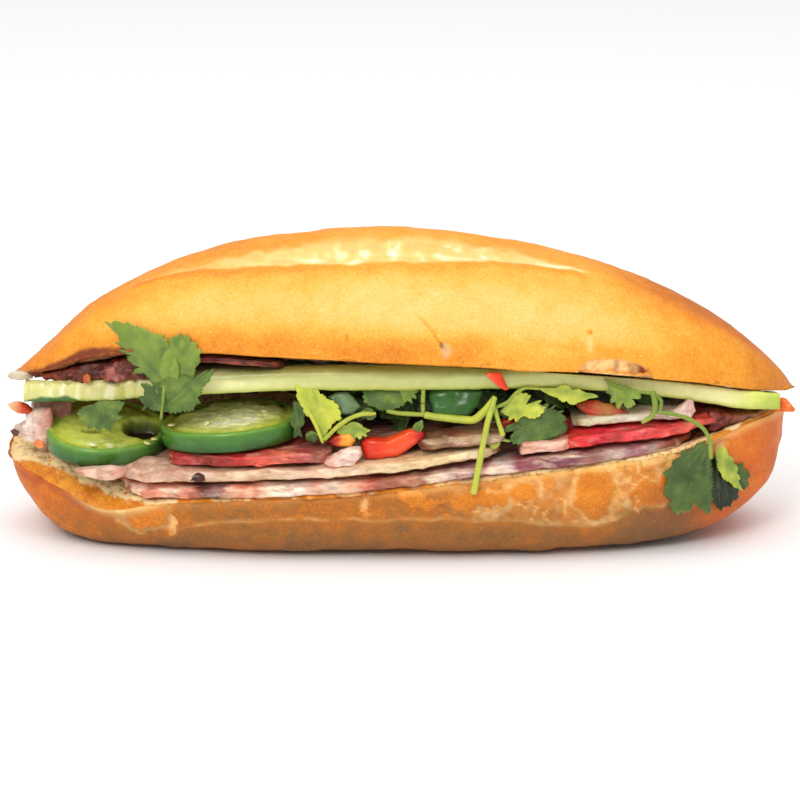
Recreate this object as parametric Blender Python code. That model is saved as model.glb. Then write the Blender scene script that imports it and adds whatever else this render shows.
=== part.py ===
"""A banh mi sandwich: a split roll lying on its flat underside, opened along the front and filled with
slices of ham and roast pork, chilli, carrot, coriander and one long cucumber spear.

X runs along the roll, -Y is the open front, +Z is up.  Lengths are written in millimetres and turned
into metres when a mesh is made.  Each filling lies on the one below it, a small gap apart."""

import bpy
import numpy as np
from mathutils import Matrix

MM = 0.001
GAP = 0.35                       # left between pieces that touch
TIP_SHARE = 0.992                # how near the last ring of a bread half lies to its tip

# the lower half of the roll
BOTTOM_ENDS = (-105.0, 102.9)
BOTTOM_HALF_WIDTH = 37.0
FLAT_SINK = 0.6                  # how much of the rounded underside is pressed flat
CRUST_HANG = 30.0                # reach of the rounding above the widest level

# the upper half of the roll, which leans back on its hinge side
TOP_ENDS = (-102.3, 104.8)
TOP_HALF_WIDTH = 36.0
LEAN = np.radians(13.0)
DOME_HEIGHT = 31.4
RIM_TUCK = 3.5                   # how far the crust carries on below its widest level
BULGE = 3.2                      # crumb standing out of the cut face near the left end
SEAM = 0.8                       # between the halves along the back
SCORE_DEPTH = 2.6                # the baker's cut along the top, opened in the oven
SCORE_MIDDLE, SCORE_HALF_WIDTH = -19.5, 7.0
SCORE_ENDS = (-68.0, 46.0)

# the fillings
HAM_LOWER, HAM_PALE, ROAST = 3.9, 3.6, 4.2      # thickness of each level of slices
LEVEL_1 = GAP
LEVEL_2 = LEVEL_1 + HAM_LOWER + GAP
LEVEL_3 = LEVEL_2 + HAM_PALE + GAP
LEVEL_4 = LEVEL_3 + ROAST + GAP
CUCUMBER_THICK, CUCUMBER_DEEP = 6.6, 15.0


# ---------------------------------------------------------------- curves and meshes

def through(knots, x):
    """Smooth curve through (place, value) knots: cubic pieces that never overshoot a knot."""
    place, value = np.array(knots, float).T
    x = np.asarray(x, float)
    step = np.diff(place)
    slope = np.diff(value) / step
    bend = np.zeros(len(place))
    bend[0], bend[-1] = slope[0], slope[-1]
    same = slope[:-1] * slope[1:] > 0
    harmonic = 2 * slope[:-1] * slope[1:] / np.where(same, slope[:-1] + slope[1:], 1)
    bend[1:-1] = np.where(same, harmonic, 0)
    i = np.clip(np.searchsorted(place, x) - 1, 0, len(step) - 1)
    t = np.clip((x - place[i]) / step[i], 0, 1)
    return (value[i] * (1 + 2 * t) * (1 - t) ** 2 + bend[i] * step[i] * t * (1 - t) ** 2
            + value[i + 1] * (3 - 2 * t) * t ** 2 - bend[i + 1] * step[i] * t ** 2 * (1 - t))


def rounded(t, power):
    """Superellipse: 1 in the middle, falling to 0 at t = -1 and t = 1."""
    return np.clip(1 - np.abs(t) ** power, 0, 1) ** (1 / power)


def waves(x, y, seed, length):
    """Gentle unevenness between -1 and 1 with humps about one length across."""
    dice = np.random.default_rng(seed)
    total = np.zeros(np.broadcast(x, y).shape)
    for octave in (1.0, 1.7, 2.9):
        angle, phase = dice.uniform(0, np.pi), dice.uniform(0, 2 * np.pi, 2)
        along = (x * np.cos(angle) + y * np.sin(angle)) * 2 * np.pi * octave / length
        across = (y * np.cos(angle) - x * np.sin(angle)) * 2 * np.pi * octave / length
        total = total + np.sin(along + phase[0]) * np.cos(across + phase[1]) / octave
    return total / 1.95


def finish(name, colour, roughness):
    """Principled material from an sRGB colour."""
    made = bpy.data.materials.get(name) or bpy.data.materials.new(name)
    made.use_nodes = True
    shader = made.node_tree.nodes["Principled BSDF"]
    linear = [((c + 0.055) / 1.055) ** 2.4 for c in colour]
    shader.inputs["Base Color"].default_value = (*linear, 1)
    shader.inputs["Roughness"].default_value = roughness
    shader.inputs["Metallic"].default_value = 0
    made.diffuse_color = (*linear, 1)
    return made


def solid(name, points, faces, material):
    """One closed body from points in millimetres."""
    mesh = bpy.data.meshes.new(name)
    mesh.from_pydata((np.asarray(points) * MM).tolist(), [], faces)
    mesh.shade_smooth()
    mesh.materials.append(material)
    thing = bpy.data.objects.new(name, mesh)
    bpy.context.scene.collection.objects.link(thing)
    return thing


def loft(name, rings, poles, material):
    """Skin over closed rings of points, closed at both ends by a fan to a pole."""
    rings = np.asarray(rings)
    count, around = rings.shape[:2]
    points = np.vstack([rings.reshape(-1, 3), np.asarray(poles).reshape(2, 3)])
    faces = []
    for i in range(count - 1):
        for j in range(around):
            k = (j + 1) % around
            a, b = i * around + j, i * around + k
            faces += [(a, b, b + around), (a, b + around, a + around)]
    first, last = count * around, count * around + 1
    for j in range(around):
        k = (j + 1) % around
        faces.append((first, k, j))
        faces.append((last, (count - 1) * around + j, (count - 1) * around + k))
    thing = solid(name, points, faces, material)
    if signed_volume(points, faces) < 0:
        thing.data.flip_normals()
    return thing


def signed_volume(points, faces):
    """Volume of a closed mesh, below zero when its faces point inwards."""
    a, b, c = (np.asarray(points)[[f[n] for f in faces]] for n in range(3))
    return np.einsum("ij,ij->i", a, np.cross(b, c)).sum() / 6


def along(ends, count, share=TIP_SHARE):
    """Stations from one end to the other, closer together towards the ends."""
    middle, half = (ends[0] + ends[1]) / 2, (ends[1] - ends[0]) / 2
    return middle + half * np.sin(np.linspace(-1, 1, count) * np.arcsin(share))


def evenly(line, count):
    """A polyline drawn again with count points at even distances."""
    line = np.asarray(line)
    run = np.concatenate([[0], np.cumsum(np.linalg.norm(np.diff(line, axis=0), axis=1))])
    wanted = np.linspace(0, run[-1], count)
    return np.column_stack([np.interp(wanted, run, line[:, n]) for n in range(line.shape[1])])


def squared_ring(count, power):
    """Sideways and upward share of each point of a ring between a circle (1) and a square (0)."""
    turn = np.linspace(0, 2 * np.pi, count, endpoint=False)
    across = np.sign(np.cos(turn)) * np.abs(np.cos(turn)) ** power
    lift = np.sign(np.sin(turn)) * np.abs(np.sin(turn)) ** power
    return across, lift


def end_poles(ends, rings):
    """Poles in the middle of the first and last ring's height and depth, at the ends in X."""
    return [(x, ring[:, 1].mean(), ring[:, 2].mean()) for x, ring in zip(ends, (rings[0], rings[-1]))]


# ---------------------------------------------------------------- the upper half of the roll

def share_along(x, ends):
    """Place along a bread half, -1 at its left tip and 1 at its right tip."""
    return (x - (ends[0] + ends[1]) / 2) / ((ends[1] - ends[0]) / 2)


def top_half_width(x):
    return TOP_HALF_WIDTH * np.sqrt(np.clip(1 - np.abs(share_along(x, TOP_ENDS)) ** 2.6, 0, 1))


def top_level(x):
    """Height of the upper half's widest level on its centre line: arched, and low at the tips."""
    return through([(-102.3, 42.5), (-93, 45.6), (-80, 50.6), (-53, 52.3), (-26, 50.6), (13, 48.8),
                    (53, 46.2), (84, 43), (99, 39.8), (104.8, 38)], x)


def dome_height(x):
    """Height of the dome above that level: slimmer to the left than to the right."""
    t = share_along(x, TOP_ENDS)
    return DOME_HEIGHT * np.clip(1 - t ** 2, 0, 1) ** np.where(x < 1, 1.04, 0.73)


def rim_tuck(x):
    return RIM_TUCK * np.clip(top_half_width(x) / 22, 0, 1)


def score(x, u):
    """Depth of the opened score: lens-shaped in plan, with a raised lip along its front."""
    middle, half = (SCORE_ENDS[0] + SCORE_ENDS[1]) / 2, (SCORE_ENDS[1] - SCORE_ENDS[0]) / 2
    lens = np.clip(1 - ((x - middle) / half) ** 2, 0, 1) ** 0.5
    t = (u - SCORE_MIDDLE) / SCORE_HALF_WIDTH
    lip = np.exp(-((t + 1.25) / 0.4) ** 2)
    return lens * (SCORE_DEPTH * np.clip(1 - t ** 2, 0, 1) ** 1.5 - 0.9 * lip)


def leaned(x, u, v):
    """Place in the sandwich of a point u behind and v above the leaning centre line."""
    return u * np.cos(LEAN) + v * np.sin(LEAN), top_level(x) - u * np.sin(LEAN) + v * np.cos(LEAN)


def top_cut(x, y):
    """Height of the upper half's cut face."""
    return top_level(x) - (y * np.sin(LEAN) + rim_tuck(x)) / np.cos(LEAN)


def top_bulge(x, y):
    """The crumb stands out of the cut face near the left end."""
    width = np.maximum(top_half_width(x), 1)
    return BULGE * np.exp(-((x + 82) / 11) ** 2) * np.clip(1 - (y / width / 0.97) ** 2, 0, 1) ** 0.6


def bread_top(material):
    """Rings of crust over the dome and back along the cut face."""
    rings = []
    for x in along(TOP_ENDS, 30):
        width, height, tuck = top_half_width(x), dome_height(x), rim_tuck(x)
        turn = np.linspace(0, np.pi, 90)
        u = -width * np.sign(np.cos(turn)) * np.abs(np.cos(turn)) ** (2 / 2.3)
        v = height * np.sin(turn) ** (2 / 2.3)
        v = v - score(x, u) * np.clip(np.sin(turn), 0, 1)
        foot = width * 0.985
        u, v = np.r_[-foot, u, foot], np.r_[-tuck, v, -tuck]
        crust = evenly(np.column_stack([u, v]), 25)
        cut_u = np.linspace(foot, -foot, 8)[1:-1]
        cut_v = -tuck + 0.4 * (1 + waves(x, cut_u, 4, 22)) * np.clip(width / 30, 0, 1)
        cut_v = cut_v - top_bulge(x, cut_u)
        ring = np.vstack([crust, np.column_stack([cut_u, cut_v])])
        y, z = leaned(x, ring[:, 0], ring[:, 1])
        rings.append(np.column_stack([np.full(len(y), x), y, z]))
    poles = [(x, 0, float(top_level(x))) for x in TOP_ENDS]
    return loft("bread_top", rings, poles, material)


# ---------------------------------------------------------------- the lower half of the roll

def bottom_half_width(x):
    return BOTTOM_HALF_WIDTH * np.sqrt(np.clip(1 - np.abs(share_along(x, BOTTOM_ENDS)) ** 2.6, 0, 1))


def bottom_level(x):
    """Height at which the lower half is widest."""
    return through([(-105, 20.5), (-95, 22), (-60, 24), (0, 24), (60, 25), (95, 26), (102.9, 26)], x)


def underside(x):
    """Height of the underside: pressed flat in the middle, curving up to both tips."""
    return through([(-105, 20.0), (-99, 10.3), (-93.8, 4.2), (-88, 0.7), (-80, -FLAT_SINK),
                    (50, -FLAT_SINK), (70, 0.8), (77.7, 2.4), (83, 3.8), (88.4, 6.2), (93.8, 9.6),
                    (99, 14.5), (102.9, 25)], x)


def front_rim(x):
    """Height of the lower half's front rim, which sags near the left end."""
    return through([(-105, 20.5), (-91, 17), (-77, 12), (-60, 15.5), (-40, 17), (0, 19), (25, 21),
                    (48, 25), (67, 26.8), (82, 30.5), (96, 33.2), (102.9, 33)], x)


def back_rim(x):
    """Height of the lower half's back rim, just under the upper half, parting at the tips."""
    t = share_along(x, BOTTOM_ENDS)
    parting = np.where(x < 0, 20.0, 4.0) * np.abs(t) ** 8
    rim = top_level(x) - top_half_width(x) * np.sin(LEAN) - rim_tuck(x) * np.cos(LEAN)
    return rim - SEAM - parting


def shoulder(x):
    """Rise of the crumb behind the front rim, where the left end is pressed open."""
    return through([(-105, 0), (-97, 3.0), (-86, 4.6), (-76, 2.6), (-64, 0.4), (-50, 0), (105, 0)], x)


def bottom_cut(x, y):
    """Height of the lower half's cut face: level at the front, curling up to the back rim."""
    width = np.maximum(bottom_half_width(x), 1)
    curl = np.clip((y / width + 0.1) / 1.05, 0, 1) ** 1.8
    rise = shoulder(x) * np.clip((y + width) / 7, 0, 1) ** 0.8
    return front_rim(x) + (back_rim(x) - front_rim(x) - rise) * curl + rise


def front_crust(x, z):
    """Distance in Y from the centre line to the front crust of the lower half at a height."""
    drop = bottom_level(x) - underside(x)
    return -bottom_half_width(x) * rounded((bottom_level(x) - z) / drop, 4.6)


def bread_bottom(material):
    """Rings of crust round the underside and back over the cut face."""
    rings = []
    for x in along(BOTTOM_ENDS, 27):
        width, level = bottom_half_width(x), float(bottom_level(x))
        turn = np.linspace(-0.5 * np.pi, 1.5 * np.pi, 260)
        low = np.sin(turn) >= 0
        power = np.where(low, 4.6, 2.4)
        reach = np.where(low, level - underside(x), CRUST_HANG * np.clip(width / 30, 0.3, 1))
        y = -width * np.sign(np.cos(turn)) * np.abs(np.cos(turn)) ** (2 / power)
        z = level - reach * np.sign(np.sin(turn)) * np.abs(np.sin(turn)) ** (2 / power)
        rim = np.where(y < 0, front_rim(x), back_rim(x))
        kept = np.flatnonzero(z <= rim)
        line = np.column_stack([y, z])[kept[0]:kept[-1] + 1]
        crust = evenly(line, 19)
        cut_y = np.linspace(crust[-1, 0], crust[0, 0], 9)[1:-1]
        cut_z = bottom_cut(x, cut_y) - 0.25 - 0.25 * waves(x, cut_y, 9, 24)
        ring = np.vstack([crust, np.column_stack([cut_y, cut_z])])
        ring[:, 1] = np.maximum(ring[:, 1], 0)
        rings.append(np.column_stack([np.full(len(ring), x), ring]))
    poles = [(x, 0, float(bottom_level(x))) for x in BOTTOM_ENDS]
    return loft("bread_bottom", rings, poles, material)


# ---------------------------------------------------------------- slices of meat

def slice_of(name, ends, front, back, under, thick, material, seed=1, detail=(8, 10), ruffle=0.35):
    """A flat slice with round edges: it lies on the surface under(x, y) between front(x) and back(x)."""
    stations, around = detail
    rings = []
    across, lift = squared_ring(around, 0.55)
    for x in along(ends, stations, 0.985):
        t = share_along(x, ends)
        edge = float(rounded(t, 5))
        low, high = float(front(x)), float(back(x))
        middle, half = (low + high) / 2, (high - low) / 2 * edge
        y = middle + half * across + 0.5 * waves(x, across * 5, seed, 16)
        thickness = thick * squeeze(x) * (0.82 + 0.18 * waves(x, y, seed + 5, 30)) * max(edge, 0.35)
        z = under(x, y) + ruffle * (1 + waves(x, y, seed, 28)) / 2 + thickness * (0.5 + 0.5 * lift)
        rings.append(np.column_stack([np.full(around, x), y, z]))
    return loft(name, rings, end_poles(ends, rings), material)


def squeeze(x):
    """The stack is pressed thinner towards the right end."""
    return through([(30, 1.0), (60, 0.95), (77, 0.8), (95, 0.6)], x)


def level(height):
    """Surface a given height above the lower half's cut face."""
    return lambda x, y: bottom_cut(x, y) + height * squeeze(x)


def behind_rim(inset):
    """Front edge of a slice that keeps its distance from the front crust, or hangs over it."""
    return lambda x: -np.maximum(bottom_half_width(x) * 0.99 - inset, 2)


def until(depth):
    """Back edge of a slice, where the roll is wide enough."""
    return lambda x: np.minimum(depth, np.maximum(bottom_half_width(x) - 6, 2))


def meats(ham, pale, roast, spread):
    """The slices from the bottom up."""
    fit = 0.86
    slice_of("ham_left_fold", (-87, -75.5), behind_rim(4.5), until(6), level(LEVEL_1), 2.4, pale, 2)
    slice_of("ham_lower", (-75, 77), behind_rim(-1.2), until(14), level(LEVEL_1), HAM_LOWER * fit,
             ham, 3, (22, 12))
    slice_of("ham_pale", (-75, 27), behind_rim(0.4), until(12), level(LEVEL_2), HAM_PALE * fit,
             pale, 5, (18, 12))
    slice_of("roast_left", (-60, -19), behind_rim(1.2), until(2), level(LEVEL_3), ROAST * fit,
             roast, 11, (12, 12))
    slice_of("ham_folded_middle", (-18, -11.5), behind_rim(1.8), until(-4), level(LEVEL_3),
             ROAST * fit, pale, 12)
    slice_of("pork_middle", (-10.5, 5), lambda x: -25.0, until(-4), level(LEVEL_3), ROAST * fit,
             pale, 13)
    slice_of("pork_brown", (6, 27), behind_rim(2.4), until(-2), level(LEVEL_3), ROAST * fit,
             spread, 14)
    slice_of("pork_fat_end", (32, 43), behind_rim(2.2), until(-6), level(LEVEL_2), ROAST * fit,
             pale, 15)
    slice_of("roast_right", (44, 84), behind_rim(1.0), until(0), level(LEVEL_2), ROAST * fit,
             roast, 16, (14, 12))
    slice_of("ham_white_right", (46, 76), behind_rim(5.5), until(-2), level(LEVEL_2 + ROAST + GAP), 2.6,
             pale, 17)


def end_meats(pale, spread):
    """Ham at the left end, the dark spread at the right end and the strip under the upper half."""
    slice_of("ham_left_end", (-103.0, -94.2), lambda x: -0.85 * bottom_half_width(x),
             lambda x: 0.5 * bottom_half_width(x), level(1.0), 9.0, pale, 21, (8, 12), 0.8)
    slice_of("pate_right", (84.6, 94), lambda x: -0.8 * bottom_half_width(x),
             lambda x: 0.35 * bottom_half_width(x), level(0.6), 3.0, spread, 22, (8, 12), 0.3)
    slice_of("pate_strip_top", (-80, -30), lambda x: -0.93 * top_half_width(x), lambda x: -4.0,
             lambda x, y: top_cut(x, y) - 2.9 - top_bulge(x, y), 2.0, spread, 23, (12, 10), 0.3)


# ---------------------------------------------------------------- cucumber, peppers, chilli, carrot

def cucumber_front(x):
    """Front face of the spear: a long shallow bow."""
    return -31.5 + 13.0 * (np.asarray(x) / 100) ** 2


def cucumber_under(x):
    """Underside of the spear: it bends down to both ends with the upper half above it."""
    return through([(-101, 38.3), (-78, 40.2), (-54, 42.8), (-30, 44.3), (0, 45.0), (37, 45.2),
                    (55, 43.7), (69, 41.5), (82, 39.1), (91, 37.2), (102, 36.2)], x)


def cucumber(material):
    """A lengthwise wedge of cucumber: flat cut faces with soft edges, thinner to the ends."""
    ends = (-98.6, 99.8)
    across, lift = squared_ring(14, 0.6)
    rings = []
    for x in along(ends, 24, 0.998):
        edge = float(rounded(share_along(x, ends), 9))
        thick = CUCUMBER_THICK * (0.62 + 0.38 * edge) * (1 - 0.22 * share_along(x, ends) ** 4)
        deep = CUCUMBER_DEEP * (0.5 + 0.5 * edge) * (1 - 0.25 * share_along(x, ends) ** 2)
        y = cucumber_front(x) + deep * (0.5 + 0.5 * across)
        z = cucumber_under(x) + thick * (0.5 + 0.5 * lift) + 0.25 * waves(x, y, 31, 26)
        z = np.minimum(z, top_cut(x, y) - top_bulge(x, y) - np.where(x < -26, 3.4, 0.6))
        rings.append(np.column_stack([np.full(len(y), x), y, z]))
    return loft("cucumber", rings, end_poles(ends, rings), material)


def pepper_ring(name, middle, radii, tilt, thick, chambers, material, seed):
    """A cross slice of jalapeno: a lobed wall of flesh with open chambers beside the pith."""
    def turned(points):
        """Tilt about X and Y, then carry to its place."""
        about_x, about_y = np.radians(tilt)
        x, y, z = points.T
        y, z = y * np.cos(about_x) - z * np.sin(about_x), y * np.sin(about_x) + z * np.cos(about_x)
        x, z = x * np.cos(about_y) + z * np.sin(about_y), z * np.cos(about_y) - x * np.sin(about_y)
        return np.column_stack([x, y, z]) + middle

    turn = np.linspace(0, 2 * np.pi, 24, endpoint=False)
    lobe = 1 + 0.03 * np.cos(3 * turn + seed) + 0.02 * np.sin(2 * turn + seed)
    outline = np.column_stack([radii[0] * np.cos(turn) * lobe, radii[1] * np.sin(turn) * lobe])
    rings = []
    for share, height in ((0.94, -0.5), (1.0, -0.25), (1.0, 0.25), (0.94, 0.5)):
        ring = np.column_stack([outline * share, np.full(len(turn), height * thick)])
        rings.append(turned(ring))
    poles = turned(np.array([(0, 0, -0.5 * thick), (0, 0, 0.5 * thick)]))
    wall = loft(name, rings, poles, material)
    for number, (x, y, half_long, half_short, angle) in enumerate(chambers):
        bean = np.linspace(0, 2 * np.pi, 10, endpoint=False)
        long, short = half_long * np.cos(bean), half_short * np.sin(bean)
        a = np.radians(angle)
        plan = np.column_stack([x + long * np.cos(a) - short * np.sin(a),
                                y + long * np.sin(a) + short * np.cos(a)])
        layers = [turned(np.column_stack([plan, np.full(len(plan), h * thick)])) for h in (-0.9, 0.9)]
        ends = turned(np.array([(x, y, -0.9 * thick), (x, y, 0.9 * thick)]))
        cutter = loft(f"{name}_cutter_{number}", layers, ends, material)
        cutter.hide_render = True
        cutter.display_type = "WIRE"
        cut = wall.modifiers.new("chamber", "BOOLEAN")
        cut.operation = "DIFFERENCE"
        cut.object = cutter
    return wall


def strip_of(name, points, wide, tall, material, detail=(7, 8), taper=(0.35, 0.35)):
    """A cut piece along a bent line: flattened section, narrower towards both ends."""
    stations, around = detail
    points = np.asarray(points, float)
    spot = np.linspace(0, 1, len(points))
    side, lift = squared_ring(around, 0.7)
    rings = []
    share = 0.5 + 0.5 * np.sin(np.linspace(-1, 1, stations) * 1.35)
    path = np.column_stack([through(np.column_stack([spot, points[:, n]]), share) for n in range(3)])
    direction = np.gradient(path, axis=0)
    direction /= np.linalg.norm(direction, axis=1)[:, None]
    sideways = np.cross(direction, (0, 0, 1.0))
    sideways /= np.linalg.norm(sideways, axis=1)[:, None]
    upward = np.cross(sideways, direction)
    for n, t in enumerate(share):
        start = taper[0] + (1 - taper[0]) * min(1, t / 0.3)
        stop = taper[1] + (1 - taper[1]) * min(1, (1 - t) / 0.3)
        reach = start * stop / 2
        across = np.outer(side * wide, sideways[n])
        rings.append(path[n] + reach * (across + np.outer(lift * tall, upward[n])))
    poles = [path[0] - direction[0] * 0.25 * wide * taper[0],
             path[-1] + direction[-1] * 0.25 * wide * taper[1]]
    return loft(name, rings, poles, material)


def peppers(pepper):
    """Two jalapeno cross slices on the hams, and a strip of the wall that shows its skin."""
    pepper_ring("jalapeno_left", (-77.8, -14.6, 26.5), (15.7, 15.0), (4.0, -2.0), 5.6,
                ((-5.6, -1.5, 5.4, 3.4, 100), (6.4, -1.0, 5.6, 3.2, 80)), pepper, 0.4)
    pepper_ring("jalapeno_middle", (-44.3, -18.8, 33.6), (17.9, 16.8), (1.0, -4.5), 5.8,
                ((-8.0, 4.6, 4.4, 2.2, 40), (8.2, 5.2, 4.6, 2.1, -35), (0.5, -8.6, 6.2, 1.8, 0)),
                pepper, 1.9)
    strip_of("jalapeno_right", [(8, -25.5, 38.6), (13, -29, 38.4), (19, -29.8, 38.6), (25.5, -26.8, 39.2)],
             3.4, 7.0, pepper, (8, 10))


def beside_rim(x, inset, lift):
    """A point near the front rim, lifted above the second level of slices."""
    y = inset - float(bottom_half_width(x))
    return x, y, float(level(LEVEL_3)(x, y)) + lift


def roots_and_chilli(chilli, carrot, pale):
    """Pieces of chilli and carrot at the front edge, and the tips that look out of both ends."""
    strip_of("chilli_front", [beside_rim(-10.2, 5.0, 3.2), beside_rim(-4, 3.4, 3.2),
                              beside_rim(5.2, 5.0, 3.5)], 5.2, 5.2, chilli, (8, 10))
    strip_of("carrot_front", [beside_rim(-17, 5.6, 6.4), beside_rim(-14, 5.0, 6.6),
                              beside_rim(-11.2, 6.0, 7.4)], 3.0, 2.4, carrot)
    strip_of("chilli_middle", [(27, -28, 36.8), (29, -29.4, 36.4), (31.5, -27.4, 37.2)], 2.8, 3.2, chilli)
    strip_of("chilli_right", [(47, -24.8, 39.7), (53, -25.4, 39.7), (59.6, -23.6, 40.3)], 3.2, 2.4, chilli)
    strip_of("chilli_tip", [(22, -32.9, 50.3), (25, -33.4, 48.9), (28, -32.9, 47.9)], 2.0, 2.8, chilli,
             (7, 8), (0.8, 0.2))
    strip_of("carrot_left_end", [(-103.4, -8, 32.6), (-100.5, -7.4, 33.1), (-95, -5.6, 33)],
             3.4, 2.0, carrot)
    strip_of("carrot_right_end", [(105.4, -6.2, 34.9), (100.8, -5.4, 34.7), (94, -3.4, 34.9)],
             4.2, 1.8, carrot, (7, 8), (0.25, 0.5))
    strip_of("radish_left_end", [(-102.9, -6, 39.7), (-99.6, -4.4, 40.4), (-94, -1.6, 40.4)],
             3.4, 1.2, pale)


# ---------------------------------------------------------------- herbs

def herb_heap(material):
    """The bundle of coriander between the meats and the upper half, out to its uneven outline."""
    ends = (-72, 74)
    across, lift = squared_ring(14, 0.6)
    rings = []
    for x in along(ends, 30, 0.99):
        edge = float(rounded(share_along(x, ends), 4))
        front = through([(-72, 4), (-28, 3), (-20, -20), (30, -21), (60, -18), (74, -14)], x)
        front = front + 1.2 * np.sin(x / 3.1) * np.clip((x + 24) / 8, 0, 1)
        back = through([(-72, 12), (-60, 15), (0, 15), (30, 10), (60, 3), (74, -4)], x)
        y = (front + back) / 2 + (back - front) / 2 * edge * across
        floor = level(LEVEL_4)(x, y)
        spear = y < cucumber_front(x) + CUCUMBER_DEEP + 1.5
        roof = np.minimum(np.where(spear, cucumber_under(x), 99) - 0.9, top_cut(x, y) - 1.2)
        roof = np.maximum(roof, floor + 1.0)
        swell = 0.5 + 0.5 * lift * (0.8 + 0.2 * edge)
        z = floor + (roof - floor) * swell - 0.3 * (1 + waves(x, y, 41, 13)) * (lift > 0.2)
        rings.append(np.column_stack([np.full(len(y), x), y, z]))
    return loft("herb_heap", rings, end_poles(ends, rings), material)


def leaf_spray(name, middle, radii, hang, thick, material, seed):
    """Leaves lying together against the front: a lobed pad in X and Z, on the surface y = hang(x, z)."""
    turn = np.linspace(0, 2 * np.pi, 26, endpoint=False)
    edge = 1 + 0.16 * np.cos(5 * turn + seed) + 0.07 * np.cos(9 * turn + 2 * seed)
    layers = []
    for share, out in ((0.7, 0.0), (1.0, 0.5), (0.7, 1.0)):
        x = middle[0] + radii[0] * share * edge * np.cos(turn)
        z = middle[1] + radii[1] * share * edge * np.sin(turn)
        layers.append(np.column_stack([x, hang(x, z) - out * thick, z]))
    x, z = middle
    back = float(hang(x, z))
    poles = [(x, back, z), (x, back - thick, z)]
    return loft(name, layers, poles, material)


def herbs(material):
    """The bundle and the two sprays that hang out at the front."""
    def over_upper_half(x, z):
        return -34.6 + 0.06 * (z - 50)

    def over_lower_half(x, z):
        return np.minimum(front_crust(x, np.minimum(z, 24.0)) - 0.8, -20.0)

    herb_heap(material)
    leaf_spray("herb_spray_left", (-62.5, 50.8), (14.0, 11.4), over_upper_half, 1.6, material, 0.6)
    leaf_spray("herb_spray_right", (80.5, 19.0), (11.6, 9.6), over_lower_half, 2.4, material, 2.1)


# ---------------------------------------------------------------- put together

def settle(things):
    """Carry every mesh so that the whole is centred on the origin and stands on z = 0."""
    shown = [thing for thing in things if not thing.hide_render]
    points = np.vstack([[v.co for v in thing.data.vertices] for thing in shown])
    low, high = points.min(axis=0), points.max(axis=0)
    shift = Matrix.Translation((-(low[0] + high[0]) / 2, -(low[1] + high[1]) / 2, -low[2]))
    for thing in things:
        thing.data.transform(shift)


def main():
    for old in list(bpy.data.objects):
        bpy.data.objects.remove(old)
    crust = finish("baked crust", (0.93, 0.66, 0.27), 0.55)
    ham = finish("marbled ham", (0.72, 0.42, 0.38), 0.4)
    pale = finish("pale pork roll", (0.93, 0.82, 0.68), 0.4)
    roast = finish("red roast pork", (0.62, 0.16, 0.12), 0.4)
    spread = finish("pate", (0.45, 0.24, 0.16), 0.5)
    green = finish("cucumber flesh", (0.86, 0.87, 0.60), 0.3)
    pepper = finish("jalapeno skin", (0.33, 0.50, 0.20), 0.25)
    chilli = finish("red chilli", (0.93, 0.38, 0.16), 0.25)
    carrot = finish("carrot", (0.92, 0.50, 0.24), 0.4)
    herb = finish("coriander", (0.42, 0.55, 0.22), 0.5)
    bread_bottom(crust)
    meats(ham, pale, roast, spread)
    end_meats(pale, spread)
    peppers(pepper)
    roots_and_chilli(chilli, carrot, pale)
    herbs(herb)
    cucumber(green)
    bread_top(crust)
    settle(bpy.data.objects)


main()
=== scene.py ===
"""Banh mi sandwich: a crusty roll slit along one side and filled with cold cuts, pate, jalapeno, chilli,
pickled carrot, coriander and one long spear of cucumber.

X runs along the roll, -Y is the open front and +Z is up.  Formulas are in millimetres on the roll's own
centre line, and become metres in the frame when a mesh is made."""

import bpy
import numpy as np
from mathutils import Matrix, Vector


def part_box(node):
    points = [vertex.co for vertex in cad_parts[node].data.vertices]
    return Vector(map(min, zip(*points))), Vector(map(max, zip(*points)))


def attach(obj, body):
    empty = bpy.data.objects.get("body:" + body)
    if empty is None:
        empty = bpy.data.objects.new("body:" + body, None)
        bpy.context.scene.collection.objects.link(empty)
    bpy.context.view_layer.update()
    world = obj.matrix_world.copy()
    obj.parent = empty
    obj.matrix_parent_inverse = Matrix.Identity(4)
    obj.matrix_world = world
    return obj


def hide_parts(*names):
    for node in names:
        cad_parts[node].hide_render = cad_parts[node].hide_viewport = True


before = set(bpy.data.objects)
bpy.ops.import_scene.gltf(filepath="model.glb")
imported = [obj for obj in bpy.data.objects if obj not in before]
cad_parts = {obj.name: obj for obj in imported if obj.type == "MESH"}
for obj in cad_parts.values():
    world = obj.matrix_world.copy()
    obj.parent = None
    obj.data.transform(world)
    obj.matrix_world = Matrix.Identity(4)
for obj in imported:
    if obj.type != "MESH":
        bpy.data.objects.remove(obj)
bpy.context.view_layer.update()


# ------------------------------------------------------------------ the lower half of the roll
# The base of a Vietnamese baguette of wheat and rice flour: a thin shattering crust over a light crumb,
# baked on a tray, so it is flat and browner underneath, darkened further there by painted shade, and torn
# and blistered where it was cut open.

BOTTOM_ENDS, BOTTOM_HALF_WIDTH, FLAT_SINK, CRUST_HANG = (-105.0, 102.9), 37.0, 0.6, 30.0
TOP_ENDS, TOP_HALF_WIDTH, LEAN, RIM_TUCK, SEAM = (-102.3, 104.8), 36.0, np.radians(13.0), 3.5, 0.8
low_corner, high_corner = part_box("bread_bottom")
SHIFT = np.array([low_corner.x * 1000 - BOTTOM_ENDS[0], (low_corner.y + high_corner.y) * 500, 0.0])


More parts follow.
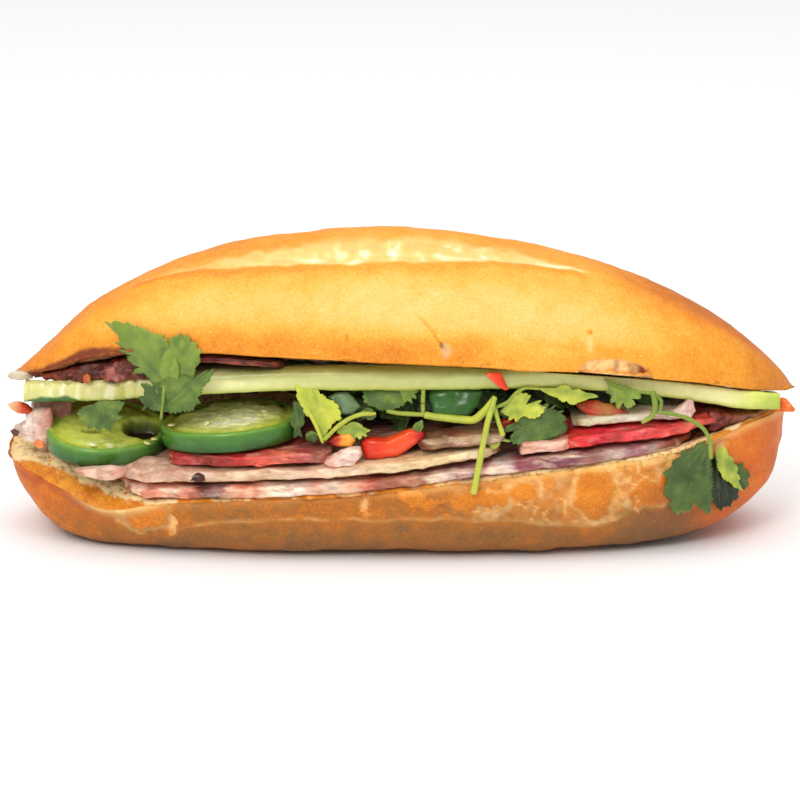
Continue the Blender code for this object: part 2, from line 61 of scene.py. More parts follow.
def through(knots, x):
    """Smooth curve through (place, value) knots: cubic pieces whose slopes are the harmonic mean of the
    steps beside each knot, so that it never overshoots one."""
    place, value = np.array(knots, float).T
    step = np.diff(place)
    slope = np.diff(value) / step
    bend = np.zeros(len(place))
    bend[0], bend[-1] = slope[0], slope[-1]
    same = slope[:-1] * slope[1:] > 0
    bend[1:-1] = np.where(same, 2 * slope[:-1] * slope[1:] / np.where(same, slope[:-1] + slope[1:], 1), 0)
    i = np.clip(np.searchsorted(place, x) - 1, 0, len(step) - 1)
    t = np.clip((x - place[i]) / step[i], 0, 1)
    return (value[i] * (1 + 2 * t) * (1 - t) ** 2 + bend[i] * step[i] * t * (1 - t) ** 2
            + value[i + 1] * (3 - 2 * t) * t ** 2 - bend[i + 1] * step[i] * t ** 2 * (1 - t))


def share_along(x, ends):
    """Place along a piece: -1 at its left end, 1 at its right end."""
    return (x - (ends[0] + ends[1]) / 2) / ((ends[1] - ends[0]) / 2)


def rounded(t, power):
    """Superellipse: (1 - |t|^power)^(1/power), which is 1 in the middle and 0 at both ends."""
    return np.clip(1 - np.abs(t) ** power, 0, 1) ** (1 / power)


def signed_power(value, power):
    """Power of the size of a value, with its sign kept."""
    return np.sign(value) * np.abs(value) ** power


def smooth(value, start, stop):
    """0 before start, 1 after stop and a smooth cubic step between them."""
    t = np.clip((value - start) / (stop - start), 0, 1)
    return t * t * (3 - 2 * t)


def spot(x, z, middle, reach):
    """A soft patch: exp(-d^2) of the distance d from its middle, measured in its two reaches."""
    return np.exp(-((x - middle[0]) / reach[0]) ** 2 - ((z - middle[1]) / reach[1]) ** 2)


def stations(ends, count):
    """Places along a piece, closer together towards both ends: 1 - (1 - |s|)^1.4 of its half length."""
    s = np.linspace(-1, 1, count + 2)[1:-1]
    return (ends[0] + ends[1]) / 2 + (ends[1] - ends[0]) / 2 * np.sign(s) * (1 - (1 - np.abs(s)) ** 1.4)


def evenly(lines, shares):
    """Polylines [n, m, columns] drawn again at given shares of their length in the first two columns."""
    step = np.linalg.norm(np.diff(lines[..., :2], axis=1), axis=2)
    run = np.pad(np.cumsum(step, axis=1), ((0, 0), (1, 0)))
    apart = 2 * np.arange(len(lines))[:, None]
    run, wanted = (run / run[:, -1:] + apart).ravel(), (shares + apart).ravel()
    columns = [np.interp(wanted, run, lines[..., k].ravel()) for k in range(lines.shape[2])]
    return np.stack(columns, -1).reshape(len(lines), len(shares), -1)


def dice(cell, seed):
    """A number from 0 to 1 for every whole lattice cell, by mixing its three numbers and the seed."""
    mixed = (cell * np.array([374761393, 668265263, 1274126177])).sum(-1) + seed * 144665
    mixed = (mixed ^ (mixed >> 13)) * 1103515245 & 0x7FFFFFFF
    return ((mixed ^ (mixed >> 15)) & 0xFFFFFF) / 0xFFFFFF


def noise(points, size, seed):
    """Lumps about one size across, from -1 to 1: lattice numbers blended by a cubic, and then the same
    again at half the size and half the weight."""
    total, weight = 0.0, 0.0
    for octave in (0, 1):
        place = points / size * 2 ** octave + 91.7 * octave
        cell = np.floor(place).astype(np.int64)
        part = place - cell
        part = part * part * (3 - 2 * part)
        for corner in np.array([(i, j, k) for i in (0, 1) for j in (0, 1) for k in (0, 1)]):
            share = np.prod(np.where(corner, part, 1 - part), axis=-1)
            total = total + share * (2 * dice(cell + corner, int(seed) + octave) - 1) / 2 ** octave
        weight += 0.75 / 2 ** octave
    return np.clip(total / weight, -1, 1)


def bubbles(points, size, seed):
    """Distance to the nearest of the points scattered one to a lattice cell, in cell sizes."""
    place = points / size
    cell = np.floor(place).astype(np.int64)
    nearest = np.full(points.shape[:-1], 9.0)
    for corner in np.array([(i, j, k) for i in (-1, 0, 1) for j in (-1, 0, 1) for k in (-1, 0, 1)]):
        there = cell + corner
        centre = there + np.stack([dice(there, seed + k) for k in range(3)], -1)
        nearest = np.minimum(nearest, np.linalg.norm(place - centre, axis=-1))
    return nearest


def outward(rings):
    """Unit normals of a tube of rings: the cross product of its two directions, away from its middle."""
    across = np.cross(np.gradient(rings, axis=0), np.roll(rings, -1, 1) - np.roll(rings, 1, 1))
    across /= np.maximum(np.linalg.norm(across, axis=-1, keepdims=True), 1e-9)
    side = (across * (rings - rings.mean(axis=1, keepdims=True))).sum(-1)
    return across * np.sign(np.median(side))


def linear(colour):
    """An sRGB hex colour as linear red, green and blue."""
    value = np.array([int(colour[k:k + 2], 16) for k in (1, 3, 5)]) / 255
    return np.where(value <= 0.04045, value / 12.92, ((value + 0.055) / 1.055) ** 2.4)


def fill(tree, node, inputs):
    """Fills a node's sockets, by name or number, with a value, an sRGB hex colour or another node's
    socket."""
    for key, value in inputs.items():
        if isinstance(value, bpy.types.NodeSocket):
            tree.links.new(value, node.inputs[key])
        else:
            node.inputs[key].default_value = (*linear(value), 1) if isinstance(value, str) else value


def add(tree, kind, inputs=None, stops=(), **settings):
    """Adds one node, sets its own settings and its ramp's stops, and fills its sockets."""
    node = tree.nodes.new("ShaderNode" + kind)
    for key, value in settings.items():
        setattr(node, key, value)
    for _ in range(len(stops) - 2):
        node.color_ramp.elements.new(0.5)
    for element, (place, colour) in zip(node.color_ramp.elements if stops else (), stops):
        element.position, element.color = place, (*linear(colour), 1)
    fill(tree, node, inputs or {})
    return node


def blank(name):
    """A named material with an empty tree, its object coordinates in metres, and its shader."""
    made = bpy.data.materials.new(name)
    made.use_nodes = True
    tree = made.node_tree
    shader = tree.nodes["Principled BSDF"]
    return made, tree, add(tree, "TexCoord").outputs["Object"], shader


def skin(rings, poles=None, **marks):
    """One closed shell: quads between rings [n, m, 3], and a fan to a pole at each end.  Each mark is a
    number or colour for every point of the rings, which the poles take from the ring beside them."""
    n, m = rings.shape[:2]
    poles = rings[[0, -1]].mean(axis=1) if poles is None else np.asarray(poles, float)
    points = np.vstack([rings.reshape(-1, 3), poles])
    row, column = (k.ravel() for k in np.meshgrid(np.arange(n - 1) * m, np.arange(m), indexing="ij"))
    beside = (column + 1) % m
    quads = np.column_stack([row + column, row + beside, row + m + beside, row + m + column])
    j = np.arange(m)
    k = (j + 1) % m
    fans = np.vstack([np.column_stack([np.full(m, n * m), k, j]),
                      np.column_stack([np.full(m, n * m + 1), (n - 1) * m + j, (n - 1) * m + k])])
    a, b, c, d = (points[quads[:, i]] for i in range(4))
    if (np.cross(c - a, d - b) * (a + b + c + d - 4 * points.mean(0))).sum() < 0:
        quads, fans = quads[:, ::-1], fans[:, ::-1]
    kept = {}
    for key, value in marks.items():
        value = np.asarray(value, float)
        value = np.broadcast_to(value, (n, m) + ((3,) if value.shape[-1:] == (3,) and key == "tint" else ()))
        ends = value[[0, -1]].mean(axis=1)
        kept[key] = np.concatenate([value.reshape(n * m, *value.shape[2:]), ends])
    return points, quads, fans, kept


def piece(name, material, slot, nodes, *shells):
    """One mesh object from closed shells, in metres in the frame, which rides with the sandwich and stands
    for the named solids."""
    starts = np.cumsum([0] + [len(shell[0]) for shell in shells])
    faces = [
        face for start, shell in zip(starts, shells) for part in shell[1:3]
        for face in (part + start).tolist()
    ]
    mesh = bpy.data.meshes.new(name)
    mesh.from_pydata(((np.vstack([shell[0] for shell in shells]) + SHIFT) * 0.001).tolist(), [], faces)
    mesh.shade_smooth()
    mesh.materials.append(material)
    for key in shells[0][3]:
        values = np.concatenate([shell[3][key] for shell in shells])
        colour = values.ndim == 2
        layer = mesh.attributes.new(key, "FLOAT_COLOR" if colour else "FLOAT", "POINT")
        if colour:
            values = np.column_stack([values, np.ones(len(values))])
        layer.data.foreach_set("color" if colour else "value", values.astype(np.float32).ravel())
    thing = bpy.data.objects.new(name, mesh)
    bpy.context.scene.collection.objects.link(thing)
    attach(thing, "root")
    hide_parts(*nodes)
    return thing


def top_half_width(x):
    """Half width of the upper half: a superellipse of its length, power 2.6 over 2."""
    return TOP_HALF_WIDTH * np.sqrt(np.clip(1 - np.abs(share_along(x, TOP_ENDS)) ** 2.6, 0, 1))


def top_level(x):
    """Height of the upper half's widest level on its centre line: arched, and low at the tips."""
    return through([(-102.3, 42.5), (-93, 45.6), (-80, 50.6), (-53, 52.3), (-26, 50.6), (13, 48.8),
                    (53, 46.2), (84, 43), (99, 39.8), (104.8, 38)], x)


def rim_tuck(x):
    """How far the crust carries on below that level."""
    return RIM_TUCK * np.clip(top_half_width(x) / 22, 0, 1)


def bottom_half_width(x):
    """Half width of the lower half, by the same rule as the upper half."""
    return BOTTOM_HALF_WIDTH * np.sqrt(np.clip(1 - np.abs(share_along(x, BOTTOM_ENDS)) ** 2.6, 0, 1))


def bottom_level(x):
    """Height at which the lower half is widest."""
    return through([(-105, 20.5), (-95, 22), (-60, 24), (0, 24), (60, 25), (95, 26), (102.9, 26)], x)


def underside(x):
    """Height of the underside: pressed flat in the middle, curving up to both tips."""
    return through([(-105, 20.0), (-99, 10.3), (-93.8, 4.2), (-88, 0.7), (-80, -FLAT_SINK),
                    (50, -FLAT_SINK), (70, 0.8), (77.7, 2.4), (83, 3.8), (88.4, 6.2), (93.8, 9.6),
                    (99, 14.5), (102.9, 25)], x)


def front_rim(x):
    """Height of the lower half's front rim, which sags near the left end."""
    return through([(-105, 20.5), (-91, 17), (-77, 12), (-60, 15.5), (-40, 17), (-20, 18.3), (0, 20),
                    (15, 22.2), (28, 23.8), (40, 25), (50, 26), (67, 27.4), (82, 30.5), (96, 33.2),
                    (102.9, 33)], x)


def back_rim(x):
    """Height of its back rim: just under the upper half, parting from it at the tips."""
    parting = np.where(x < 0, 20.0, 4.0) * np.abs(share_along(x, BOTTOM_ENDS)) ** 8
    return top_level(x) - top_half_width(x) * np.sin(LEAN) - rim_tuck(x) * np.cos(LEAN) - SEAM - parting


def bottom_cut(x, y):
    """Height of the cut face: level at the front, curling up to the back rim, with the crumb behind the
    front rim raised where the left end is pressed open."""
    width = np.maximum(bottom_half_width(x), 1)
    curl = np.clip((y / width + 0.1) / 1.05, 0, 1) ** 1.8
    raised = through([(-105, 0), (-97, 4.5), (-88, 7.0), (-80, 7.2), (-72, 5.4), (-62, 2.0), (-50, 0),
                      (105, 0)], x)
    rise = raised * np.clip((y + width) / 7, 0, 1) ** 0.8
    return front_rim(x) + (back_rim(x) - front_rim(x) - rise) * curl + rise


def front_crust(x, z):
    """Distance in Y from the centre line to the front crust of the lower half at a height."""
    drop = bottom_level(x) - underside(x)
    return -bottom_half_width(x) * rounded(np.clip((bottom_level(x) - z) / drop, -1, 1), 4.6)


def lower_half():
    """Rings of crust from the front rim round the underside to the back rim, superellipses of power 4.6
    below the widest level and 2.4 above it, and then back over the cut face."""
    crust_points, cut_points = 150, 90
    x = stations(BOTTOM_ENDS, 320)[:, None]
    width, level = bottom_half_width(x), bottom_level(x)
    drop, hang = level - underside(x), CRUST_HANG * np.clip(width / 30, 0.3, 1)

    def past_level(rim):
        """Turn from the widest level up, or down if below zero, to a rim."""
        up = np.arcsin(np.clip((rim - level) / hang, 0, 1) ** 1.2)
        return up - np.arcsin(np.clip((level - rim) / drop, 0, 1) ** 2.3)

    start, stop = -past_level(front_rim(x)), np.pi + past_level(back_rim(x))
    turn = start + (stop - start) * np.linspace(0, 1, 500)
    low = np.sin(turn) >= 0
    power = np.where(low, 4.6, 2.4)
    crust = evenly(np.stack([-width * signed_power(np.cos(turn), 2 / power),
                             level - np.where(low, drop, hang) * signed_power(np.sin(turn), 2 / power)], -1),
                   np.linspace(0, 1, crust_points) ** 1.35)
    share = 1 - (1 - np.linspace(0, 1, cut_points + 2)[1:-1]) ** 1.35
    cut_y = crust[:, -1:, 0] + (crust[:, :1, 0] - crust[:, -1:, 0]) * share
    cut = np.stack([cut_y, bottom_cut(x, cut_y) - 0.3], -1)
    ring = np.concatenate([crust, cut], axis=1)
    rings = np.concatenate([np.broadcast_to(x[:, :, None], ring[..., :1].shape), ring], axis=-1)
    px, py, pz = np.moveaxis(rings, -1, 0)
    on_cut = np.zeros(px.shape)
    on_cut[:, crust_points:] = 1
    behind_rim = np.where(on_cut > 0, py - crust[:, :1, 0], 0)
    below_rim = np.where(py < 0, front_rim(px) - pz, 9)

    # the front crust: golden blisters with crisp borders, torn streaks, and between them a bare tan area
    # above a thin wavy fold line; blisters and tears are given by their middle (x, z) and reach (x, z)
    blisters = (((-67.5, 12), (6.5, 5.0)), ((5, 17.5), (5, 2.4)), ((20, 17.2), (8.5, 3.2)),
                ((33, 19.2), (5.6, 2.9)), ((51.2, 18.6), (6.0, 8.2)), ((65, 17.4), (7, 3.8)),
                ((74, 20), (6, 7)))
    tears = (((-8.5, 15.7), (1.9, 3.6)), ((24, 20.0), (1.8, 1.6)), ((-59.5, 9.5), (1.5, 5.0)),
             ((61.2, 14), (1.0, 3)), ((84, 28.5), (2.6, 1.4)))
    front = (py < 5) * (1 - on_cut)
    wx = px + 2.4 * noise(rings, 6, 3) + 1.1 * noise(rings, 1.8, 12)
    wz = pz + 1.6 * noise(rings, 4, 13) + 0.9 * noise(rings, 1.6, 14)
    ragged = noise(rings, 2.6, 15)
    fine = noise(rings, 1.1, 16)
    inside = np.max([1 - np.hypot((wx - middle[0]) / reach[0], (wz - middle[1]) / reach[1])
                     for middle, reach in blisters], axis=0)
    golden = smooth(inside, 0.0, 0.14) * front
    border = np.exp(-((inside + 0.05) / 0.11) ** 2) * front
    torn = np.max([spot(wx, wz, middle, reach) for middle, reach in tears], axis=0) * front
    fold = (through([(-62, 5.0), (-57, 8.0), (-51, 10.0), (-38, 11.6), (-27, 12.6), (-8, 12.2),
                     (10, 12.6), (25, 11.7), (41, 10.5), (50, 9.9), (57, 11.6), (64, 14.5), (72, 16.5),
                     (78, 18)], px) + 0.5 * noise(rings, 4, 21))
    on_fold = (np.exp(-((pz - fold) / 0.45) ** 2) * smooth(px, -62, -55) * (1 - smooth(px, 58, 66))
               * (0.6 + 0.7 * ragged) * front)
    bare = smooth(wx, 9, 24) * (1 - smooth(wx, 76, 84)) * smooth(pz - fold, -0.2, 0.8) * (1 - golden) * front
    cracks = np.exp(-(noise(rings, 4.2, 17) / 0.055) ** 2) * np.clip(bare + smooth(torn, 0.1, 0.4), 0, 1)

    lift = 0.5 * noise(rings, 17, 1) + 0.3 * noise(rings, 6, 2) + 0.10 * noise(rings, 2.2, 4)
    lift = lift + 0.5 * golden - 0.8 * smooth(torn, 0.35, 0.7) - 0.3 * bare - 0.25 * cracks
    lift = lift + 0.20 * bare * fine + 0.35 * on_fold
    pits = (smooth(0.46 - bubbles(rings, 4.2, 5), 0, 0.3) * 0.9
            + smooth(0.42 - bubbles(rings, 2.0, 6), 0, 0.25) * 0.45)
    cut_lift = 0.1 - pits * smooth(behind_rim, 1, 5) + 0.3 * noise(rings, 7, 7) + 0.15 * ragged
    cut_lift = (cut_lift + 0.9 * smooth(behind_rim, 0, 1.5) * (1 - smooth(behind_rim, 3, 7))
                * smooth(px, -66, -50))
    rings = rings + outward(rings) * (lift * (1 - on_cut) + cut_lift * on_cut)[..., None]
    rings[..., 2] = np.maximum(rings[..., 2], 0)

    # how far the crust is browned: dull brown underneath and darker below the fold line, which is partly
    # browning and partly painted shade, orange at both ends, golden where it blistered, scorched along the
    # left rim, where it curls over, and caught by the heat below the right blisters
    bake = (0.82 + 0.07 * (1 - smooth(pz - fold, -5, 0.5)) + 0.05 * noise(rings, 12, 8) + 0.05 * ragged
            + 0.04 * fine)
    bake = (bake - 0.05 * smooth(px, -10, 25) * smooth(wz, 10, 13) - 0.10 * smooth(-px, 84, 97)
            - 0.12 * smooth(px, 74, 88))
    bake = (bake + 0.07 * smooth(px, 52, 62) * (1 - smooth(px, 80, 90)) * (1 - smooth(wz, 13, 19))
            * (1 - golden))
    bake = bake + 0.10 * smooth(px, 5, 25) * (1 - smooth(pz - fold, 1, 8)) * smooth(pz - fold, -1, 0.5)
    bake = (bake - 0.13 * golden * (1 + 0.4 * ragged) - 0.08 * bare * (1 + 0.5 * fine)
            - 0.20 * smooth(torn, 0.3, 0.7))
    bake = bake - 0.12 * cracks - 0.06 * on_fold - 0.06 * border * smooth(px, 0, 20)
    pale_rim = np.exp(-((below_rim - 0.3) / (1.3 + 0.7 * ragged)) ** 2) * front
    bake = bake - 0.13 * pale_rim * (0.35 + 0.65 * smooth(px, -20, 20))
    right_part = smooth(px, 0, 25) * (1 - smooth(px, 72, 84))
    curled = smooth(-px, 70, 77) * (1 - smooth(-px, 99, 103))
    crumb = (on_cut * smooth(behind_rim + 1.6 * noise(rings, 4, 18) * (1 - right_part) + 0.7 * fine
                             + 0.9 * right_part - 2.6 * curled, 0.3, 1.6))
    crumb = np.maximum(crumb, 0.5 * smooth(torn, 0.4, 0.8))
    crumb = np.maximum(crumb, np.clip(0.02 + 0.28 * ragged, 0, 1) * bare)
    bake = np.where(on_cut > 0, 0.60 - 0.10 * fine - 0.25 * right_part + 0.10 * curled * ragged, bake)
    scorched = curled * front * smooth(4.5 + 2 * ragged - below_rim, 0, 2.5)
    caught = front * spot(px, pz, (70.5, 16), (6.5, 6.5))
    bake = bake + 0.07 * scorched + 0.12 * caught
    bake = bake - 0.06 * smooth(py, -5, 15) * (1 - on_cut)
    rust = ((1 - on_cut) * (smooth(px, 72, 86) + 0.5 * smooth(-px, 60, 80) * smooth(pz, 6, 12)
                            + 0.35 * scorched + 0.4 * caught) * (0.85 + 0.3 * ragged))
    pale = np.clip(0.22 * cracks + 0.17 * border * smooth(px, 12, 24)
                   + 0.22 * border * smooth(-px, 58, 62) + 0.16 * on_fold + 0.05 * bare
                   + pale_rim * (0.05 + 0.2 * smooth(px, -10, 20) + 0.3 * smooth(-px, 60, 66))
                   * (1 - smooth(-px, 78, 92)), 0, 1)
    stain = (on_cut * (0.12 * smooth(behind_rim, 4, 9)
                       + 0.30 * smooth(noise(rings, 6, 11), 0.0, 0.6) * smooth(behind_rim, 3, 10)
                       + 0.3 * smooth(noise(rings, 1.5, 19), 0.5, 0.8) * smooth(behind_rim, 3, 8)))
    stain = (stain + front * (0.35 * bare * smooth(noise(rings, 1.4, 20), 0.5, 0.8)
                              + 0.25 * smooth(-px, 62, 70) * smooth(3.5 + 2 * ragged - below_rim, 0, 2)
                              * (below_rim > 0.6)))
    poles = [(end, 0, float(bottom_level(np.array(end)))) for end in BOTTOM_ENDS]
    return skin(rings, poles, bake=np.clip(bake, 0, 1), crumb=crumb, split=pale, stain=np.clip(stain, 0, 1),
                rust=np.clip(rust, 0, 1))


# Baked wheat crust: golden to brown, a satin skin with a fine grain and light flecks of flour, and open
# cream crumb where it is cut.  Its marks are how far it is baked, which also holds painted shade on the
# lower half, bare crumb, pale split skin, soaked-in stain, which also holds a painted shadow along the
# upper half's left rim, and a rusty red tone.
crust, tree, place, shader = blank("baked wheat crust")
mark = {key: add(tree, "Attribute", attribute_name=key).outputs["Fac"]
        for key in ("bake", "crumb", "split", "stain", "rust")}
# Clouds of browning 6 mm across, grain of 0.7 mm, specks of flour of 0.4 mm and pores of the crumb of 1.6 mm.
mottle = add(tree, "TexNoise", {"Vector": place, "Scale": 170, "Detail": 4, "Roughness": 0.6})
grain = add(tree, "TexNoise", {"Vector": place, "Scale": 1500, "Detail": 3, "Roughness": 0.75})
flour = add(tree, "TexNoise", {"Vector": place, "Scale": 2300, "Detail": 1, "Roughness": 0.5})
holes = add(tree, "TexVoronoi", {"Vector": place, "Scale": 620})
cloudy = add(tree, "MapRange", {0: mottle.outputs["Fac"], 1: 0.3, 2: 0.7, 3: -0.04, 4: 0.04})
grainy = add(tree, "MapRange", {0: grain.outputs["Fac"], 1: 0.32, 2: 0.68, 3: -0.075, 4: 0.075})
deep = add(tree, "Math", {0: mark["bake"], 1: cloudy.outputs[0]}, operation="ADD")
deep = add(tree, "Math", {0: deep.outputs[0], 1: grainy.outputs[0]}, operation="ADD")
brown = add(tree, "ValToRGB", {"Fac": deep.outputs[0]}, stops=(
    (0.0, "#f9dca2"), (0.2, "#f5c468"), (0.36, "#f5b040"), (0.5, "#f29b25"), (0.64, "#de8018"),
    (0.78, "#b5681b"), (0.9, "#946029"), (1.0, "#7a5430")))
dusty = add(tree, "MapRange", {0: mark["bake"], 1: 0.4, 2: 0.75, 3: 0.5, 4: 0.1})
fleck = add(tree, "MapRange", {0: flour.outputs["Fac"], 1: 0.62, 2: 0.74, 3: 0.0, 4: dusty.outputs[0]})
redder = add(tree, "MapRange", {0: mark["rust"], 1: 0.0, 2: 1.0, 3: 0.0, 4: 0.55})
orange = add(tree, "Mix", {0: redder.outputs[0], 6: brown.outputs["Color"], 7: "#e0581a"}, data_type="RGBA")
flecked = add(tree, "Mix", {0: fleck.outputs[0], 6: orange.outputs[2], 7: "#ffe29a"}, data_type="RGBA")
porous = add(tree, "MapRange", {0: holes.outputs["Distance"], 1: 0.1, 2: 0.5, 3: 0.0, 4: 1.0})
crumb_colour = add(tree, "Mix", {0: porous.outputs[0], 6: "#cf9f62", 7: "#fbdca2"}, data_type="RGBA")
cream = add(tree, "Mix", {0: grain.outputs["Fac"], 6: "#fcc866", 7: "#fee9a6"}, data_type="RGBA")
whiter = add(tree, "MapRange", {0: mark["split"], 1: 0.7, 2: 1.0, 3: 0.0, 4: 0.85})
milky = add(tree, "Mix", {0: whiter.outputs[0], 6: cream.outputs[2], 7: "#fff5d4"}, data_type="RGBA")
split = add(tree, "MapRange", {0: mark["split"], 1: 0.0, 2: 0.65, 3: 0.0, 4: 1.0})
opened = add(tree, "Mix", {0: split.outputs[0], 6: flecked.outputs[2], 7: milky.outputs[2]}, data_type="RGBA")
cut = add(tree, "Mix", {0: mark["crumb"], 6: opened.outputs[2], 7: crumb_colour.outputs[2]}, data_type="RGBA")
# colour of the stain, which also paints the shadow along the upper half's left rim
soaked = add(tree, "Mix", {0: mottle.outputs["Fac"], 6: "#5e1c08", 7: "#94451c"}, data_type="RGBA")
whole = add(tree, "Mix", {0: mark["stain"], 6: cut.outputs[2], 7: soaked.outputs[2]}, data_type="RGBA")
rough = add(tree, "MapRange", {0: mark["crumb"], 1: 0, 2: 1, 3: 0.5, 4: 0.88})
relief = add(tree, "Mix", {0: mark["crumb"], 2: grain.outputs["Fac"], 3: holes.outputs["Distance"]})
bump = add(tree, "Bump", {"Strength": 0.45, "Distance": 0.0004, "Height": relief.outputs[0]})
fill(tree, shader, {"Base Color": whole.outputs[2], "Roughness": rough.outputs[0],
                    "Normal": bump.outputs["Normal"], "IOR": 1.42, "Specular IOR Level": 0.4})

piece("roll_lower_half", crust, "crust", ["bread_bottom"], lower_half())


# ------------------------------------------------------------------ slices of ham and roast pork
# Cold cuts folded in along the front: Vietnamese pork roll, marbled ham and red roast pork, 4 mm thick,
# each lying on the one below.  Their cut edges show lean, fat and the darker seasoned skin.

GAP, HAM_LOWER, HAM_PALE, ROAST = 0.35, 3.9, 3.6, 4.2
LEVEL_1 = GAP
LEVEL_2 = LEVEL_1 + HAM_LOWER + GAP
LEVEL_3 = LEVEL_2 + HAM_PALE + GAP
LEVEL_4 = LEVEL_3 + ROAST + GAP
FIT = 0.98


def squeeze(x):
    """The stack is pressed thinner towards the right end."""
    return through([(30, 1.0), (60, 0.95), (77, 0.8), (95, 0.6)], x)


def on_level(height):
    """Surface a given height above the lower half's cut face, waving more the higher it lies."""
    return lambda x, y: (bottom_cut(x, y) + height * squeeze(x)
                         + 0.09 * height * noise(np.stack(np.broadcast_arrays(x, 0.3 * y, 0.0), -1), 15, 9))


def behind_rim(inset):
    """Front edge of a slice that keeps its distance from the front crust, or hangs over it."""
    return lambda x: -np.maximum(bottom_half_width(x) * 0.99 - inset, 2)


def until(depth):
    """Back edge of a slice, where the roll is wide enough."""
    return lambda x: np.minimum(depth, np.maximum(bottom_half_width(x) - 6, 2))


def edge_ring(wide, tall, count, power):
    """Sideways and upward share of the points round a flat squared oval, closer together at the front."""
    turn = np.linspace(0, 2 * np.pi, 721)
    line = np.stack([wide * signed_power(np.cos(turn), power), tall * signed_power(np.sin(turn), power)], -1)
    s = np.linspace(-1, 1, count, endpoint=False)
    return evenly(line[None], 0.5 + 0.5 * signed_power(s, 1.5))[0].T / np.array([[wide], [tall]])


def banded(x, knots):
    """Colours at places along X, blended from one (place, sRGB hex) knot to the next."""
    place = [knot[0] for knot in knots]
    colours = np.array([linear(knot[1]) for knot in knots])
    return np.stack([np.interp(x, place, colours[:, k]) for k in range(3)], -1)


def mixed(first, second, share):
    """First colour towards the second by a share from 0 to 1."""
    share = np.clip(share, 0, 1)[..., None]
    second = linear(second) if isinstance(second, str) else second
    return first + (second - first) * share


def cut_piece(outline, depth, thick, seed, knots, turned=0.0, lean=0.1, lumps=0.3, grain=(1, 1, 1),
              fleck="#ffffff", flecked=0.0, gloss=0.6):
    """A plump piece from the corners of its front view, in mm: rings shrink from the rim to the middle
    over a front and back that stand thick / 2 * (1 - share^6)^0.5 away from an upright plane, roughened by
    lumps of two sizes; coloured in bands along X, with flecks."""
    outline = np.array(outline, float)
    middle = (outline.max(0) + outline.min(0)) / 2
    place = np.linspace(0, len(outline), 480, endpoint=False)
    line = (np.stack([np.interp(place, np.arange(len(outline) + 1),
                                np.append(outline[:, k], outline[0, k])) for k in (0, 1)], -1) - middle)
    angle = np.arctan2(line[:, 1], line[:, 0])
    order = np.argsort(angle)
    turn = np.linspace(-np.pi, np.pi, 110, endpoint=False)
    reach = np.interp(turn, angle[order], np.hypot(*line.T)[order], period=2 * np.pi)
    share = np.array([0.04, 0.2, 0.36, 0.5, 0.62, 0.73, 0.82, 0.89, 0.94, 0.975, 0.995])
    side = np.concatenate([-rounded(share, 6) ** 3, rounded(share[::-1], 6) ** 3])[:, None] * thick / 2
    share = np.concatenate([share, share[::-1]])[:, None]
    a, b = middle[0] + share * reach * np.cos(turn), middle[1] + share * reach * np.sin(turn)
    rings = np.stack([a, depth + turned * (a - middle[0]) + lean * (b - middle[1]) + side, b], -1)
    rings = (rings + outward(rings) * (lumps * noise(rings * grain, 3.0, seed)
                                       + 0.4 * lumps * noise(rings * grain, 1.1, seed + 1))[..., None])
    tint = banded(a + 0.9 * noise(rings, 2.4, seed + 2), knots)
    tint = mixed(tint, fleck, flecked * smooth(noise(rings * grain, 1.5, seed + 3), 0.0, 0.5))
    return skin(rings, tint=tint, gloss=gloss + 0 * a)


def slab(ends, front, back, under, thick, knots, seed, fat="#f6dcc0", fatty=0.35, lean="#7c3a36", crease=0.3,
         around=84, rind=0.4):
    """A slice with round corners on the surface under(x, y): squared ovals between its frayed front and
    back edge, raised by ruffles and creased along its fibres; coloured in bands, with streaks of fat and a
    darker rind along its upper and lower edge.  Its thickness is a number, or a rule of x and y."""
    x = stations(ends, int((ends[1] - ends[0]) / 0.6) + 12)[:, None]
    t = share_along(x, ends)
    edge = rounded(t, 7)
    low, high = front(x), back(x)
    across, lift = edge_ring(18, 1.9, around, 0.3)
    y = (low + high) / 2 + (high - low) / 2 * edge * across
    flat = np.stack([np.broadcast_to(x, y.shape), y, np.zeros(y.shape)], -1)
    y = y + 0.6 * noise(flat * (1, 0.3, 1), 6, seed) + 0.3 * noise(flat * (1, 0.3, 1), 2.0, seed + 9)
    full = thick(x, y) if callable(thick) else thick * squeeze(x)
    thickness = full * (0.95 + 0.12 * noise(flat, 9, seed + 5)) * np.maximum(edge, 0.35)
    z = under(x, y) + 0.2 * (1 + noise(flat, 8, seed + 2)) / 2 + thickness * (0.5 + 0.5 * lift)
    rings = np.stack([flat[..., 0], y, z], -1)
    fibres = noise(rings * (0.25, 0.8, 1.2), 1.5, seed + 3)
    rough = (0.14 * noise(rings * (0.6, 1, 1), 0.9, seed + 4)
             + 0.25 * noise(rings * (0.5, 1, 1), 3.0, seed + 10))
    rings = rings + outward(rings) * (crease * (fibres - 0.2) + rough)[..., None]
    streak = smooth(noise(rings * (0.2, 0.6, 1.0), 1.7, seed + 6), 0.5 - fatty, 0.9 - fatty)
    dark = smooth(noise(rings * (0.35, 1, 1), 2.2, seed + 7), 0.15, 0.6)
    tint = banded(flat[..., 0] + 1.8 * noise(rings, 2.6, seed + 8), knots)
    tint = mixed(mixed(tint, fat, streak * 0.7), lean, dark * 0.35)
    tint = mixed(tint, lean, rind * smooth(np.abs(lift) + 0.3 * fibres, 0.6, 1.1)
                 + 0.25 * smooth(-fibres, 0.3, 0.9))
    return skin(rings, tint=tint, gloss=0.5 + 0.5 * fibres)


